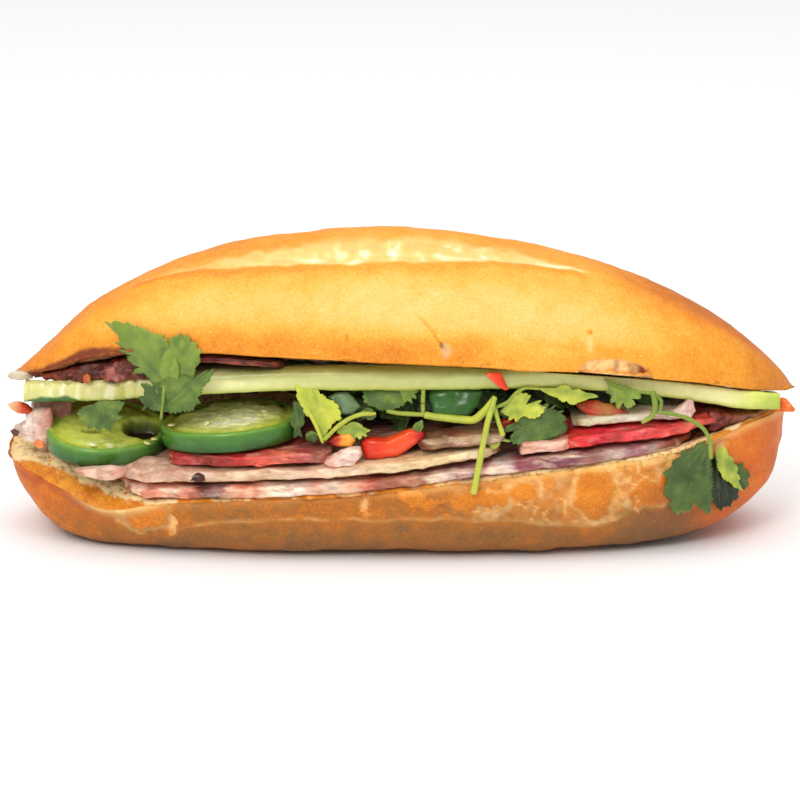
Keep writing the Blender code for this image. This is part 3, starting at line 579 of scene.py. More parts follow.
def meat(name, colour_noise, roughness, depth, fat=0.4):
    """Sliced cooked meat: moist and slightly see-through, coloured by its own bands, with fibres 1 mm wide
    and a fine grain under a thin film of fat."""
    made, tree, place, shader = blank(name)
    tint = add(tree, "Attribute", attribute_name="tint").outputs["Color"]
    drawn = add(tree, "Mapping", {"Vector": place, "Scale": (0.35, 1, 1)})
    fibre = add(tree, "TexNoise", {"Vector": drawn.outputs[0], "Scale": 800, "Detail": 5, "Roughness": 0.7})
    cloud = add(tree, "TexNoise", {"Vector": drawn.outputs[0], "Scale": 330, "Detail": 4, "Roughness": 0.7})
    shade = add(tree, "MapRange", {0: fibre.outputs["Fac"], 1: 0.38, 2: 0.62, 3: 1 - colour_noise,
                                   4: 1 + colour_noise})
    fibred = add(tree, "Mix", {0: 1.0, 6: tint, 7: shade.outputs[0]}, data_type="RGBA", blend_type="MULTIPLY")
    warm = add(tree, "MapRange", {0: cloud.outputs["Fac"], 1: 0.52, 2: 0.66, 3: 0.0, 4: 0.5})
    warmed = add(tree, "Mix", {0: warm.outputs[0], 6: fibred.outputs[2], 7: "#a0482c"}, data_type="RGBA")
    fatty = add(tree, "MapRange", {0: cloud.outputs["Fac"], 1: 0.46, 2: 0.34, 3: 0.0, 4: fat})
    whole = add(tree, "Mix", {0: fatty.outputs[0], 6: warmed.outputs[2], 7: "#fde3c4"}, data_type="RGBA")
    bump = add(tree, "Bump", {"Strength": 0.45, "Distance": depth, "Height": fibre.outputs["Fac"]})
    gloss = add(tree, "Attribute", attribute_name="gloss").outputs["Fac"]
    rough = add(tree, "MapRange", {0: gloss, 1: 0, 2: 1, 3: roughness + 0.1, 4: roughness - 0.1})
    fill(tree, shader, {"Base Color": whole.outputs[2], "Roughness": rough.outputs[0],
                        "Normal": bump.outputs["Normal"], "IOR": 1.42, "Subsurface Weight": 0.25,
                        "Subsurface Radius": (1.0, 0.35, 0.22), "Subsurface Scale": 0.0012})
    return made


ham = meat("marbled cooked ham", 0.22, 0.36, 0.0004)
pork_roll = meat("steamed pork roll", 0.14, 0.4, 0.0003)
roast = meat("red roast pork", 0.34, 0.32, 0.0005, 0.25)

piece("ham_end_left", pork_roll, "pale_ham", ["ham_left_end"],
      cut_piece(((-98.8, 35.0), (-95.4, 36.4), (-91.4, 37.4), (-91.0, 33.6), (-91.6, 29.6), (-93.2, 26.6),
                 (-97, 27.2), (-100, 28.2), (-101.4, 29.2), (-102.2, 30.6), (-100.4, 31.7),
                 (-98.6, 32.6)), -15.6, 3.6, 21,
                ((-103, "#8f7a70"), (-101, "#cdb5a4"), (-98, "#eadaca"), (-95, "#dcb8a6"),
                 (-92, "#c07e6c")),
                turned=-0.45, lumps=0.5, grain=(1.4, 1, 0.5), fleck="#c58a78", flecked=0.5, gloss=0.5),
      cut_piece(((-97.6, 36.4), (-92, 38.4), (-87, 37), (-86, 28), (-90, 25.4), (-97, 26.6), (-98.6, 31)),
                -10.5, 3.0, 23, ((-98, "#d9b8a8"), (-92, "#c58a78"), (-86, "#a86a58")), lumps=0.6,
                grain=(1.4, 1, 0.5), gloss=0.5),
      cut_piece(((-102.7, 30.4), (-101.6, 31.0), (-100.2, 30.2), (-100.6, 29.0), (-101.8, 28.9)), -16.4,
                1.2, 24, ((-103, "#2c2624"), (-100, "#5b4a44")), lumps=0.1, gloss=0.8))
piece("ham_fold_left", pork_roll, "pale_ham", ["ham_left_fold"],
      cut_piece(((-85.5, 24.0), (-81, 24.8), (-75, 25.6), (-70.6, 25.2), (-71, 23.2), (-74, 21.8),
                 (-78, 21.4), (-82, 22.2)), -30.6, 4.0, 22,
                ((-86, "#b5785f"), (-82, "#e6bda2"), (-77, "#eac7ae"), (-71, "#c98a74")),
                turned=-0.25, lumps=0.4, grain=(0.5, 1, 1.3), fleck="#a8604c", flecked=0.5, gloss=0.5))
piece("marbled_ham", ham, "marbled_ham", ["ham_lower"],
      slab((-74, 77), behind_rim(-1.0), until(14), on_level(LEVEL_1), HAM_LOWER * FIT,
           ((-75, "#b0583a"), (-70, "#d07a5c"), (-66, "#dc8a6c"), (-60, "#e0967a"), (-55, "#dc8a6c"),
            (-52, "#743830"), (-49, "#a08078"), (-46, "#96685c"), (-44, "#ecac8c"), (-41, "#d07c62"),
            (-38, "#e69a78"), (-35, "#f9dfc2"), (-25, "#fdebd6"), (-21, "#e8a488"), (-18, "#f9dfc0"),
            (-12, "#f0b494"), (-8, "#cc6a54"), (-4, "#bc7a60"), (0, "#b87458"), (4, "#cf9f80"),
            (7, "#9c6452"), (9, "#f3cfb0"), (12, "#dcbab2"), (16, "#85404f"), (19, "#c0989a"),
            (22, "#b3595a"), (26, "#e9d6cf"), (31, "#934b56"), (35, "#a0606a"), (40, "#834353"),
            (46, "#753d4b"), (52, "#b08a80"), (58, "#cfb4a8"), (62, "#a8747a"), (66, "#b5988e"),
            (70, "#8a4a35"), (77, "#9a4f35")), seed=3, fatty=0.25, crease=0.35))
piece("pork_roll_slice", pork_roll, "pale_ham", ["ham_pale"],
      slab((-74, 27), behind_rim(-0.4), until(12), on_level(LEVEL_2), HAM_PALE * 1.08,
           ((-75, "#c9987f"), (-70, "#dcb399"), (-64, "#e6c4a8"), (-55, "#dcb497"), (-50, "#d4a888"),
            (-44, "#e3c09a"), (-38, "#e9cba3"), (-30, "#ecccac"), (-20, "#e3b898"), (-14, "#eccfa8"),
            (-8, "#efd6a6"), (0, "#f0d6a2"), (12, "#f0d5a0"), (20, "#f4e0b4"), (23, "#e3c08f"),
            (27, "#b08058")), seed=5, fatty=0.1, lean="#a8684c", rind=0.5),
      cut_piece(((-54.2, 22.8), (-53.4, 24.4), (-52, 25.0), (-50.4, 24.2), (-50.0, 22.8), (-52, 22.4)),
                -36.3, 1.4, 25, ((-54, "#2c0f0c"), (-50, "#48201a")), lumps=0.5, gloss=0.3))
piece("roast_pork_left", roast, "roast_pork", ["roast_left"],
      slab((-60, -17), behind_rim(0.2), until(2), on_level(LEVEL_3), ROAST * 0.95,
           ((-60, "#8f2418"), (-57, "#c23c30"), (-54, "#c4403a"), (-50, "#8f1a16"), (-44, "#a82420"),
            (-40, "#b82c26"), (-36, "#dc5440"), (-30, "#ea7c62"), (-26, "#bc4a42"), (-22, "#b0645a"),
            (-17, "#d09078")),
           fat="#ee9c84", fatty=0.12, lean="#5c1210", seed=11, crease=0.6))
piece("ham_fold_middle", pork_roll, "pale_ham", ["ham_folded_middle"],
      cut_piece(((-19.4, 27.4), (-17.6, 29.6), (-14.4, 30.8), (-10.2, 31.4), (-9.6, 30.2), (-9.8, 28.6),
                 (-11.6, 26.8), (-15, 26.4), (-18.4, 26.2)), -34.8, 3.6, 12,
                ((-19, "#c9806c"), (-16.5, "#f3d2c0"), (-13, "#fbe6da"), (-10, "#f3cfc0")), lumps=0.5,
                turned=0.1, grain=(0.6, 1, 1.6), fleck="#c07866", flecked=0.4, gloss=0.5))
piece("pork_piece_middle", pork_roll, "pale_ham", ["pork_middle"],
      slab((-10.5, 6), lambda x: -28.0 + 0 * x, until(-4), on_level(LEVEL_3), ROAST * 0.9,
           ((-10, "#c98a74"), (5, "#b0755c")), seed=13, crease=0.5))
piece("seasoned_pork_slice", pork_roll, "pate", ["pork_brown"],
      slab((5, 28), behind_rim(1.2), until(-2), on_level(LEVEL_3), ROAST * 0.95,
           ((6, "#7c4a30"), (9, "#b08c68"), (12, "#8c6444"), (15, "#946040"), (20, "#b59470"),
            (24, "#8a6444"), (28, "#6e3c2a")),
           fat="#c8ac88", fatty=0.2, lean="#5a2f22", seed=14, crease=0.6, rind=0.7))
piece("pork_end_fatty", pork_roll, "pale_ham", ["pork_fat_end"],
      slab((31, 45), behind_rim(0.8), until(-6), on_level(LEVEL_2), ROAST * 0.9,
           ((31, "#c98a6c"), (34, "#eebba0"), (38, "#fad2bb"), (41, "#f3b8a0"), (45, "#d9705c")), seed=15,
           fatty=0.2, lean="#b5604c", crease=0.45))
piece("roast_pork_right", roast, "roast_pork", ["roast_right"],
      slab((41, 84), behind_rim(0.2), until(0), on_level(LEVEL_2), ROAST * 0.95,
           ((41, "#f08a70"), (44, "#ee4636"), (48, "#e83034"), (53, "#d82a3c"), (58, "#ea4048"),
            (64, "#ee4c4c"), (70, "#ee5048"), (76, "#f0604a"), (84, "#a32a28")), fat="#fba898",
           fatty=0.14, lean="#a01828", seed=16, crease=0.6, rind=0.25))
piece("white_ham_right", pork_roll, "pale_ham", ["ham_white_right"],
      slab((45, 77), behind_rim(3.4), until(-2), on_level(LEVEL_2 + ROAST + GAP), 3.0,
           ((45, "#cfc79c"), (50, "#dcd6ae"), (56, "#e6e0bc"), (62, "#e9ddc4"), (68, "#d9bfae"),
            (77, "#ead2c6")),
           fat="#f4efdc", lean="#a88a70", seed=17, fatty=0.2),
      cut_piece(((69, 37.0), (73, 39.4), (75.6, 41.4), (76.6, 41.0), (77.4, 38.2), (76, 36.4),
                 (71, 36.2)), -24.6, 2.4, 28, ((69, "#cdb5a0"), (74, "#f0d9cc"), (77, "#d9a898")),
                lumps=0.3, fleck="#b5806c", flecked=0.4))


# ------------------------------------------------------------------ pate
# Coarse pork liver pate, spread thickly: dark red-brown, crumbly and glossy with fat.  It fills the right
# end below the cucumber and smears the underside of the upper half at the left.

TOP_DOME_HEIGHT, BULGE = 31.4, 3.2


def top_cut(x, y):
    """Height of the upper half's cut face, which leans back with it."""
    return top_level(x) - (y * np.sin(LEAN) + rim_tuck(x)) / np.cos(LEAN)


def top_bulge(x, y):
    """The crumb stands out of that face near the left end."""
    width = np.maximum(top_half_width(x), 1)
    return BULGE * np.exp(-((x + 82) / 11) ** 2) * np.clip(1 - (y / width / 0.97) ** 2, 0, 1) ** 0.6


def cucumber_front(x):
    """Front face of the spear: a long shallow bow."""
    return -31.5 + 13.0 * (x / 100) ** 2


def cucumber_under(x):
    """Underside of the spear: it bends down to both ends."""
    return through([(-101, 38.3), (-78, 40.2), (-54, 42.8), (-30, 44.3), (0, 45.0), (37, 45.2),
                    (55, 43.7), (69, 41.5), (82, 39.1), (91, 37.2), (102, 36.2)], x)


def crumbled(shell, seed, depth):
    """A shell roughened by lumps and crumbs of two sizes, with painted shade between them and browner on top.
    """
    points, quads, fans, marks = shell
    lumps = 1 - bubbles(points, 2.6, seed)
    fine = noise(points, 0.9, seed + 2)
    middle = points.mean(axis=0)
    away = points - middle
    away = away * (0.15, 0.7, 1.0)
    away /= np.maximum(np.linalg.norm(away, axis=1, keepdims=True), 1e-6)
    points = points + away * (depth * (lumps - 0.5) + 0.25 * depth * fine)[:, None]
    # painted shade: near-black in the hollows between the lumps
    marks = dict(marks, tint=mixed(marks["tint"], "#2e0d0a", smooth(0.45 - lumps, 0, 0.4) * 0.8))
    marks["tint"] = mixed(marks["tint"], "#b5603c", smooth(fine, 0.3, 0.9) * 0.5)
    return points, quads, fans, marks


pate = meat("coarse liver pate", 0.3, 0.38, 0.0005, 0.05)
piece("pate_right_end", pate, "pate", ["pate_right"],
      crumbled(slab((80, 96.5), lambda x: -0.9 * bottom_half_width(x),
                    lambda x: 0.35 * bottom_half_width(x), on_level(0.6),
                    lambda x, y: np.maximum(cucumber_under(x) - 1.2 - on_level(0.6)(x, y), 1.2)
                    * through([(80, 1), (88, 0.95), (97, 0.8)], x),
                    ((80, "#5c150e"), (86, "#6e1a10"), (90, "#8a4428"), (94, "#9c6038"), (97, "#a0512c")),
                    fat="#b05a3c", fatty=0.1, lean="#3c0f0c", seed=22), 61, 0.8))
piece("pate_under_upper_half", pate, "pate", ["pate_strip_top"],
      crumbled(slab((-70, -30), lambda x: -0.93 * top_half_width(x), lambda x: -4.0 + 0 * x,
                    lambda x, y: top_cut(x, y) - 2.9 - top_bulge(x, y), 2.0,
                    ((-70, "#8a3026"), (-52, "#6e1d18"), (-30, "#5a1814")), fat="#a85048", fatty=0.1,
                    lean="#30100e", seed=23), 62, 0.9),
      crumbled(slab((-98.6, -62), lambda x: -0.90 * top_half_width(x), lambda x: 0.3 * top_half_width(x),
                    lambda x, y: cucumber_under(x) + 4.9 + 0 * y,
                    lambda x, y: np.maximum(top_cut(x, y) - top_bulge(x, y) + 0.8 - cucumber_under(x)
                                            - 4.9, 1.5),
                    ((-98, "#a85a34"), (-93, "#7c3216"), (-86, "#6a2410"), (-80, "#5c1c0e"),
                     (-66, "#6e2a1a")), fat="#a8502c",
                    fatty=0.15, lean="#240804", seed=24, around=110), 63, 1.8),
      cut_piece(((-77.6, 47.4), (-77.8, 49.0), (-76.2, 50.4), (-73.4, 51.4), (-70.8, 50.6), (-70.2, 48.4),
                 (-71.4, 46.9), (-73.6, 46.2), (-76.0, 46.4)), -24.4, 2.4, 26,
                ((-78, "#6a241a"), (-75.6, "#a85c50"), (-73, "#bd7468"), (-70, "#8a3c30")), lumps=0.7,
                fleck="#5c1a12", flecked=0.9, gloss=0.5),
      cut_piece(((-82.4, 46.0), (-82.2, 47.6), (-81.3, 48.2), (-80.4, 47.5), (-80.2, 46.1),
                 (-81.2, 45.4)), -23.6, 1.6, 27, ((-82, "#b5501c"), (-80, "#c86a2c")), lumps=0.15))


# ------------------------------------------------------------------ jalapeno
# Fresh green chilli cut across, 6 mm thick: glossy skin outside, wet paler flesh, a pale pith in the middle
# with narrow seed chambers beside it, and flat cream seeds.


def pepper_slice(middle, radii, tilt, thick, chambers, pith, seed, shine=(0, 0, 1, 1)):
    """Rings from the middle of the underside out over a bulging skin and back over the upper face, on an
    oval with three shallow lobes; chambers are sunk beans and the pith is a raised cushion."""
    turn = np.linspace(0, 2 * np.pi, 150, endpoint=False)
    lobe = 1 + 0.03 * np.cos(3 * turn + seed) + 0.02 * np.sin(2 * turn + seed) + 0.008 * np.sin(7 * turn)
    s = np.linspace(-1, 1, 15)
    share = np.concatenate([np.linspace(0.05, 0.90, 8), 0.955 + 0.05 * rounded(s, 2.4),
                            np.linspace(0.94, 0.02, 56)])[:, None]
    height = np.concatenate([np.full(8, -0.5), 0.5 * signed_power(s, 0.8), np.full(56, 0.5)])[:, None] * thick
    upper = np.concatenate([np.zeros(23), np.ones(56)])[:, None]
    x = share * radii[0] * np.cos(turn) * lobe
    y = share * radii[1] * np.sin(turn) * lobe
    flat = np.stack([x, y, 0 * x], -1)
    inside = (1 - share) * (radii[0] + radii[1]) / 2 + 0 * x
    ragged, fine = noise(flat, 2.2, seed * 10 + 1), noise(flat, 0.9, seed * 10 + 7)

    def within(bean):
        """1 in the middle of a turned oval, 0 at its edge and below zero outside it."""
        a = np.radians(bean[4])
        u, v = x - bean[0], y - bean[1]
        return (1 - np.hypot((u * np.cos(a) + v * np.sin(a)) / bean[2],
                             (v * np.cos(a) - u * np.sin(a)) / bean[3]) + 0.10 * ragged)

    hollow = np.max([smooth(within(bean), -0.03, 0.35) for bean in chambers], axis=0) * upper
    cushion = smooth(within(pith), -0.1, 0.4) * upper * (1 - hollow)
    # a painted highlight: a pale patch on the upper face, where the surface is also made glossier
    wet = np.exp(-((x - shine[0]) / shine[2]) ** 2 - ((y - shine[1]) / shine[3]) ** 2) * upper
    z = (height - 4.4 * hollow + 0.8 * cushion
         + upper * (0.15 * ragged + 0.08 * fine
                    - 0.5 * smooth(inside, 1.0, 2.4) * smooth(4.4 - inside, 0, 1.6)))
    z = (z + upper * cushion * (0.07 * (y - pith[1])
                                + 0.22 * noise(flat * (1, 2.2, 1), 2.4, seed * 10 + 3) + 0.12 * fine))

    # the skin band is painted darker towards the underside, painted shade, and lighter up towards the cut
    # face, painted light
    tint = mixed(np.broadcast_to(linear("#27511b"), x.shape + (3,)), "#437628",
                 smooth(height / thick + 0.1 * ragged, -0.5, 0.2))
    tint = mixed(tint, "#6f9c3a", smooth(height / thick, 0.2, 0.5))
    flesh = mixed(np.broadcast_to(linear("#8aab3a"), x.shape + (3,)), "#bcc648",
                  smooth(inside + 0.6 * ragged, 0.5, 2.0))
    flesh = mixed(flesh, "#d0d45c", smooth(inside + ragged, 3.0, 5.5))
    flesh = mixed(flesh, "#93a83c", smooth(noise(flat, 3.4, seed * 10 + 2), 0.1, 0.8) * 0.5)
    tint = mixed(tint, flesh, upper * smooth(inside + 0.2 * ragged, 0.1, 0.9))
    rim = cushion * (1 - smooth(within(pith), 0.05, 0.35))
    tint = mixed(tint, "#fffcb4", cushion)
    # white patches of pith, more of them towards the front: the pith's own white with painted light towards
    # the front
    milky = (smooth(noise(flat * (1, 1.6, 1), 3.0, seed * 10 + 4) + 0.12 * (pith[1] - y), -0.1, 0.5)
             * smooth(within(pith), 0.1, 0.4))
    tint = mixed(tint, "#fffad2", cushion * milky)
    tint = mixed(tint, "#f2ee84", cushion * (1 - 0.7 * milky)
                 * smooth(noise(flat * (1, 1.6, 1), 2.4, seed * 10 + 5), 0.1, 0.7) * 0.3)
    tint = mixed(tint, "#ccca50", np.clip(0.65 * rim * (0.5 + 0.6 * ragged)
                                          + cushion * smooth(noise(flat, 1.1, seed * 10 + 6), 0.5, 0.9)
                                          * 0.35, 0, 1))
    # the painted highlight
    tint = mixed(tint, "#eef0c4", 0.75 * wet * smooth(fine + ragged, -0.5, 0.6))
    # the hollows are painted: olive shade on their walls, and on their floors a near-black red-brown painted
    # shadow of the meat beneath
    tint = mixed(tint, "#5d6d26", smooth(hollow, 0.1, 0.5) * 0.9)
    tint = mixed(tint, "#2c0d08", smooth(hollow, 0.6, 0.98) * 0.95)
    about_x, about_y = np.radians(tilt)
    y, z = y * np.cos(about_x) - z * np.sin(about_x), y * np.sin(about_x) + z * np.cos(about_x)
    x, z = x * np.cos(about_y) + z * np.sin(about_y), z * np.cos(about_y) - x * np.sin(about_y)
    return skin(np.stack([x, y, z], -1) + middle, tint=tint,
                gloss=1 - 0.8 * upper * smooth(inside, 0.2, 1.0) + 0.8 * wet)


def seed_shell(middle, long, wide, thick, spin, tip, tint):
    """A flat seed: ovals narrowing to both ends along a turned and tipped axis."""
    s = np.linspace(-0.96, 0.96, 7)[:, None]
    turn = np.linspace(0, 2 * np.pi, 10, endpoint=False)
    body = np.sqrt(1 - s ** 2) * (1 + 0.25 * s)
    a, b, c = s * long / 2 + 0 * turn, body * wide / 2 * np.cos(turn), body * thick / 2 * np.sin(turn)
    a, c = a * np.cos(tip) - c * np.sin(tip), a * np.sin(tip) + c * np.cos(tip)
    rings = (np.stack([a * np.cos(spin) - b * np.sin(spin), a * np.sin(spin) + b * np.cos(spin), c], -1)
             + middle)
    return skin(rings, tint=np.broadcast_to(linear(tint), rings.shape), gloss=np.full(rings.shape[:2], 0.5))


def seeds_on(middle, tilt, thick, spots, seed):
    """Seeds half sunk in a slice's face at given places (across, along) from its middle."""
    random = np.random.default_rng(seed)
    about_x, about_y = np.radians(tilt)
    shells = []
    for across, along in spots:
        up = 0.5 * thick + random.uniform(0.2, 0.5)
        y, z = along * np.cos(about_x) - up * np.sin(about_x), along * np.sin(about_x) + up * np.cos(about_x)
        x, z = across * np.cos(about_y) + z * np.sin(about_y), z * np.cos(about_y) - across * np.sin(about_y)
        shells.append(seed_shell(np.array(middle) + (x, y, z), random.uniform(1.9, 2.6),
                                 random.uniform(1.4, 1.9), 0.7, random.uniform(0, np.pi),
                                 random.uniform(-0.5, 0.5),
                                 random.choice(["#f4e9a8", "#e6d784", "#f7efc4"])))
    return shells


def fresh(name, clouds, roughness, radius):
    """Juicy cut vegetable: its own bands of colour with clouds 2.4 mm wide, a wet shine that is sharper
    where it keeps its waxy skin, and light that passes a little way in."""
    made, tree, place, shader = blank(name)
    tint = add(tree, "Attribute", attribute_name="tint").outputs["Color"]
    gloss = add(tree, "Attribute", attribute_name="gloss").outputs["Fac"]
    cloud = add(tree, "TexNoise", {"Vector": place, "Scale": 420, "Detail": 4, "Roughness": 0.6})
    shade = add(tree, "MapRange", {0: cloud.outputs["Fac"], 1: 0.3, 2: 0.7, 3: 1 - clouds, 4: 1 + clouds})
    whole = add(tree, "Mix", {0: 1.0, 6: tint, 7: shade.outputs[0]}, data_type="RGBA", blend_type="MULTIPLY")
    rough = add(tree, "MapRange", {0: gloss, 1: 0, 2: 1, 3: roughness[0], 4: roughness[1]})
    wet = add(tree, "TexNoise", {"Vector": place, "Scale": 900, "Detail": 3})
    bump = add(tree, "Bump", {"Strength": 0.25, "Distance": 0.0002, "Height": wet.outputs["Fac"]})
    fill(tree, shader, {"Base Color": whole.outputs[2], "Roughness": rough.outputs[0],
                        "Normal": bump.outputs["Normal"], "IOR": 1.45, "Subsurface Weight": 0.2,
                        "Subsurface Radius": radius, "Subsurface Scale": 0.0012})
    return made


jalapeno = fresh("fresh jalapeno", 0.13, (0.38, 0.18), (0.6, 1.0, 0.2))
left_middle, left_tilt = (-77.6, -14.4, 29.4), (12.0, 3.0)
piece("jalapeno_slice_left", jalapeno, "jalapeno", ["jalapeno_left"],
      pepper_slice(left_middle, (15.9, 15.0), left_tilt, 5.2,
                   ((-3.0, -3.9, 3.1, 1.7, 6), (9.8, -0.6, 5.6, 6.2, -8)), (-2.5, 4.5, 5.0, 5.5, 20), 0.4,
                   (0.8, -11.0, 4.6, 2.0)),
      *seeds_on(left_middle, left_tilt, 5.2, ((11.6, -10.2), (13.4, -7.6), (-2.2, -12.2)), 5))
mid_middle, mid_tilt = (-44.3, -18.8, 32.5), (0.5, -4.8)
piece("jalapeno_slice_middle", jalapeno, "jalapeno", ["jalapeno_middle"],
      pepper_slice(mid_middle, (17.9, 16.6), mid_tilt, 5.4,
                   ((-13.2, 7.0, 2.4, 1.6, 40), (12.4, 8.0, 3.0, 1.6, -35)), (0.2, -0.5, 14.2, 12.0, 0),
                   1.9),
      *seeds_on(mid_middle, mid_tilt, 6.4, ((-5.6, -7.6), (8.4, -4.6), (9.6, -1.2), (-8.0, 1.0),
                                            (1.0, 8.6), (-15.0, -6.4)), 6))


# ------------------------------------------------------------------ chilli, carrot, radish and pepper strips
# Slices of ripe red chilli with a waxy skin and paler orange flesh, strips of green pepper, and matchsticks
# of pickled carrot and white radish, translucent from the brine.  They lie on the hams and look out at
# both ends.

piece("jalapeno_strip_right", jalapeno, "jalapeno", ["jalapeno_right"],
      cut_piece(((7.6, 43.2), (8.4, 45.0), (12, 45.6), (22.2, 45.0), (21.0, 41.3), (18.2, 38.6),
                 (10.5, 38.0), (8.6, 38.9)), -29.0, 3.0, 8,
                ((7, "#29521c"), (12, "#3a6828"), (22, "#2f5a22")), lumps=0.3, lean=0.35, gloss=0.55),
      cut_piece(((-18.6, 43.0), (-16.5, 44.1), (-13.7, 44.3), (-11.4, 42.6), (-9.9, 40.2), (-12, 38.6),
                 (-15, 38.4)), -27.8, 2.2, 9, ((-19, "#4c6c3c"), (-14, "#7a946a"), (-10, "#66825a")),
                lumps=0.3, gloss=0.6))
chilli = fresh("ripe red chilli", 0.10, (0.30, 0.14), (1.0, 0.35, 0.1))
piece("chilli_slice_front", chilli, "chilli", ["chilli_front"],
      cut_piece(((-9.9, 31.7), (-8.4, 32.9), (-3.6, 32.6), (0, 34.0), (3.0, 35.4), (6.4, 34.8),
                 (7.0, 33.6), (5.4, 31.9), (2.6, 29.8), (0, 28.4), (-4.9, 27.5), (-9.0, 27.5)), -31.2,
                4.4, 31, ((-10, "#c9241c"), (-7, "#e23a1e"), (-1, "#f5592a"), (3, "#f0542a"),
                          (5, "#c92c26"), (7, "#b02424")),
                lumps=0.2, gloss=1.0))
piece("chilli_slice_middle", chilli, "chilli", ["chilli_middle"],
      cut_piece(((26.4, 37.4), (29, 37.9), (31.2, 37.2), (31.0, 35.0), (29.0, 34.4), (27.0, 35.2)), -30.2,
                2.6, 32, ((26, "#a31d16"), (31, "#c43a22")), gloss=0.9))
piece("chilli_slice_right", chilli, "chilli", ["chilli_right"],
      cut_piece(((46.0, 40.4), (47.4, 41.6), (52, 41.4), (57, 40.3), (60.2, 38.4), (56, 37.6),
                 (49.4, 37.8)), -26.6, 2.4, 33,
                ((46, "#b3261a"), (50, "#c8402a"), (54, "#b5773a"), (58, "#c0402a")), fleck="#b5873e",
                flecked=0.5, gloss=0.8))
piece("chilli_point", chilli, "chilli", ["chilli_tip"],
      cut_piece(((22.0, 50.6), (23.2, 51.0), (26.3, 51.0), (28.2, 46.6), (27.4, 46.4), (25.2, 47.6)),
                -33.2, 1.8, 34, ((22, "#ee6a3a"), (25, "#ea4a24"), (28, "#e0381e")), lumps=0.1,
                gloss=1.0))
carrot = fresh("pickled carrot", 0.10, (0.34, 0.24), (1.0, 0.5, 0.1))
piece("carrot_stick_front", carrot, "carrot", ["carrot_front"],
      cut_piece(((-18.6, 32.0), (-16.6, 33.6), (-14.8, 34.2), (-12.6, 34.0), (-11.2, 32.4), (-12.2, 30.8),
                 (-14.6, 30.6), (-17.2, 30.8)), -30.8, 3.0, 35,
                ((-18, "#7c1410"), (-16, "#c22e18"), (-14.4, "#f79a2c"), (-12.6, "#fdb545"),
                 (-11, "#ee6a24")),
                lumps=0.3))
piece("carrot_stick_left", carrot, "carrot", ["carrot_left_end"],
      cut_piece(((-102.9, 37.7), (-101.4, 38.2), (-99.6, 38.0), (-97.8, 37.0), (-96.6, 35.4), (-98, 34.9),
                 (-100.4, 35.3), (-102.0, 36.6)), -15.8, 2.6, 36,
                ((-104, "#f0bd8e"), (-101, "#eda873"), (-99, "#d9482c"), (-97, "#c8401e")), turned=0.3),
      cut_piece(((-96.4, 27.5), (-95.2, 28.6), (-93.6, 28.2), (-93.4, 26.8), (-95.0, 26.2)), -18.6, 1.6,
                39, ((-97, "#e8702a"), (-93, "#f4904a")), lumps=0.15))
piece("carrot_stick_right", carrot, "carrot", ["carrot_right_end"],
      cut_piece(((98.0, 35.4), (99.6, 37.6), (101.2, 38.6), (102.6, 38.1), (103.6, 37.1), (104.7, 35.9),
                 (104.2, 35.2), (101, 35.0)), -13.6, 3.2, 37,
                ((98, "#c23c14"), (100, "#f0601c"), (103, "#f47e2c"), (105, "#d96a24")), turned=-0.3))
radish = fresh("pickled radish", 0.08, (0.34, 0.24), (1.0, 1.0, 0.9))
piece("radish_stick_left", radish, "pale_ham", ["radish_left_end"],
      cut_piece(((-103.2, 45.1), (-102.4, 45.9), (-100.4, 46.2), (-98, 45.5), (-96.6, 44.1),
                 (-99.4, 43.9), (-102.2, 44.3)), -14.2, 2.0, 38,
                ((-103, "#b9b296"), (-100, "#d9d0b4"), (-97, "#b99c8a")), turned=0.4, lumps=0.25))
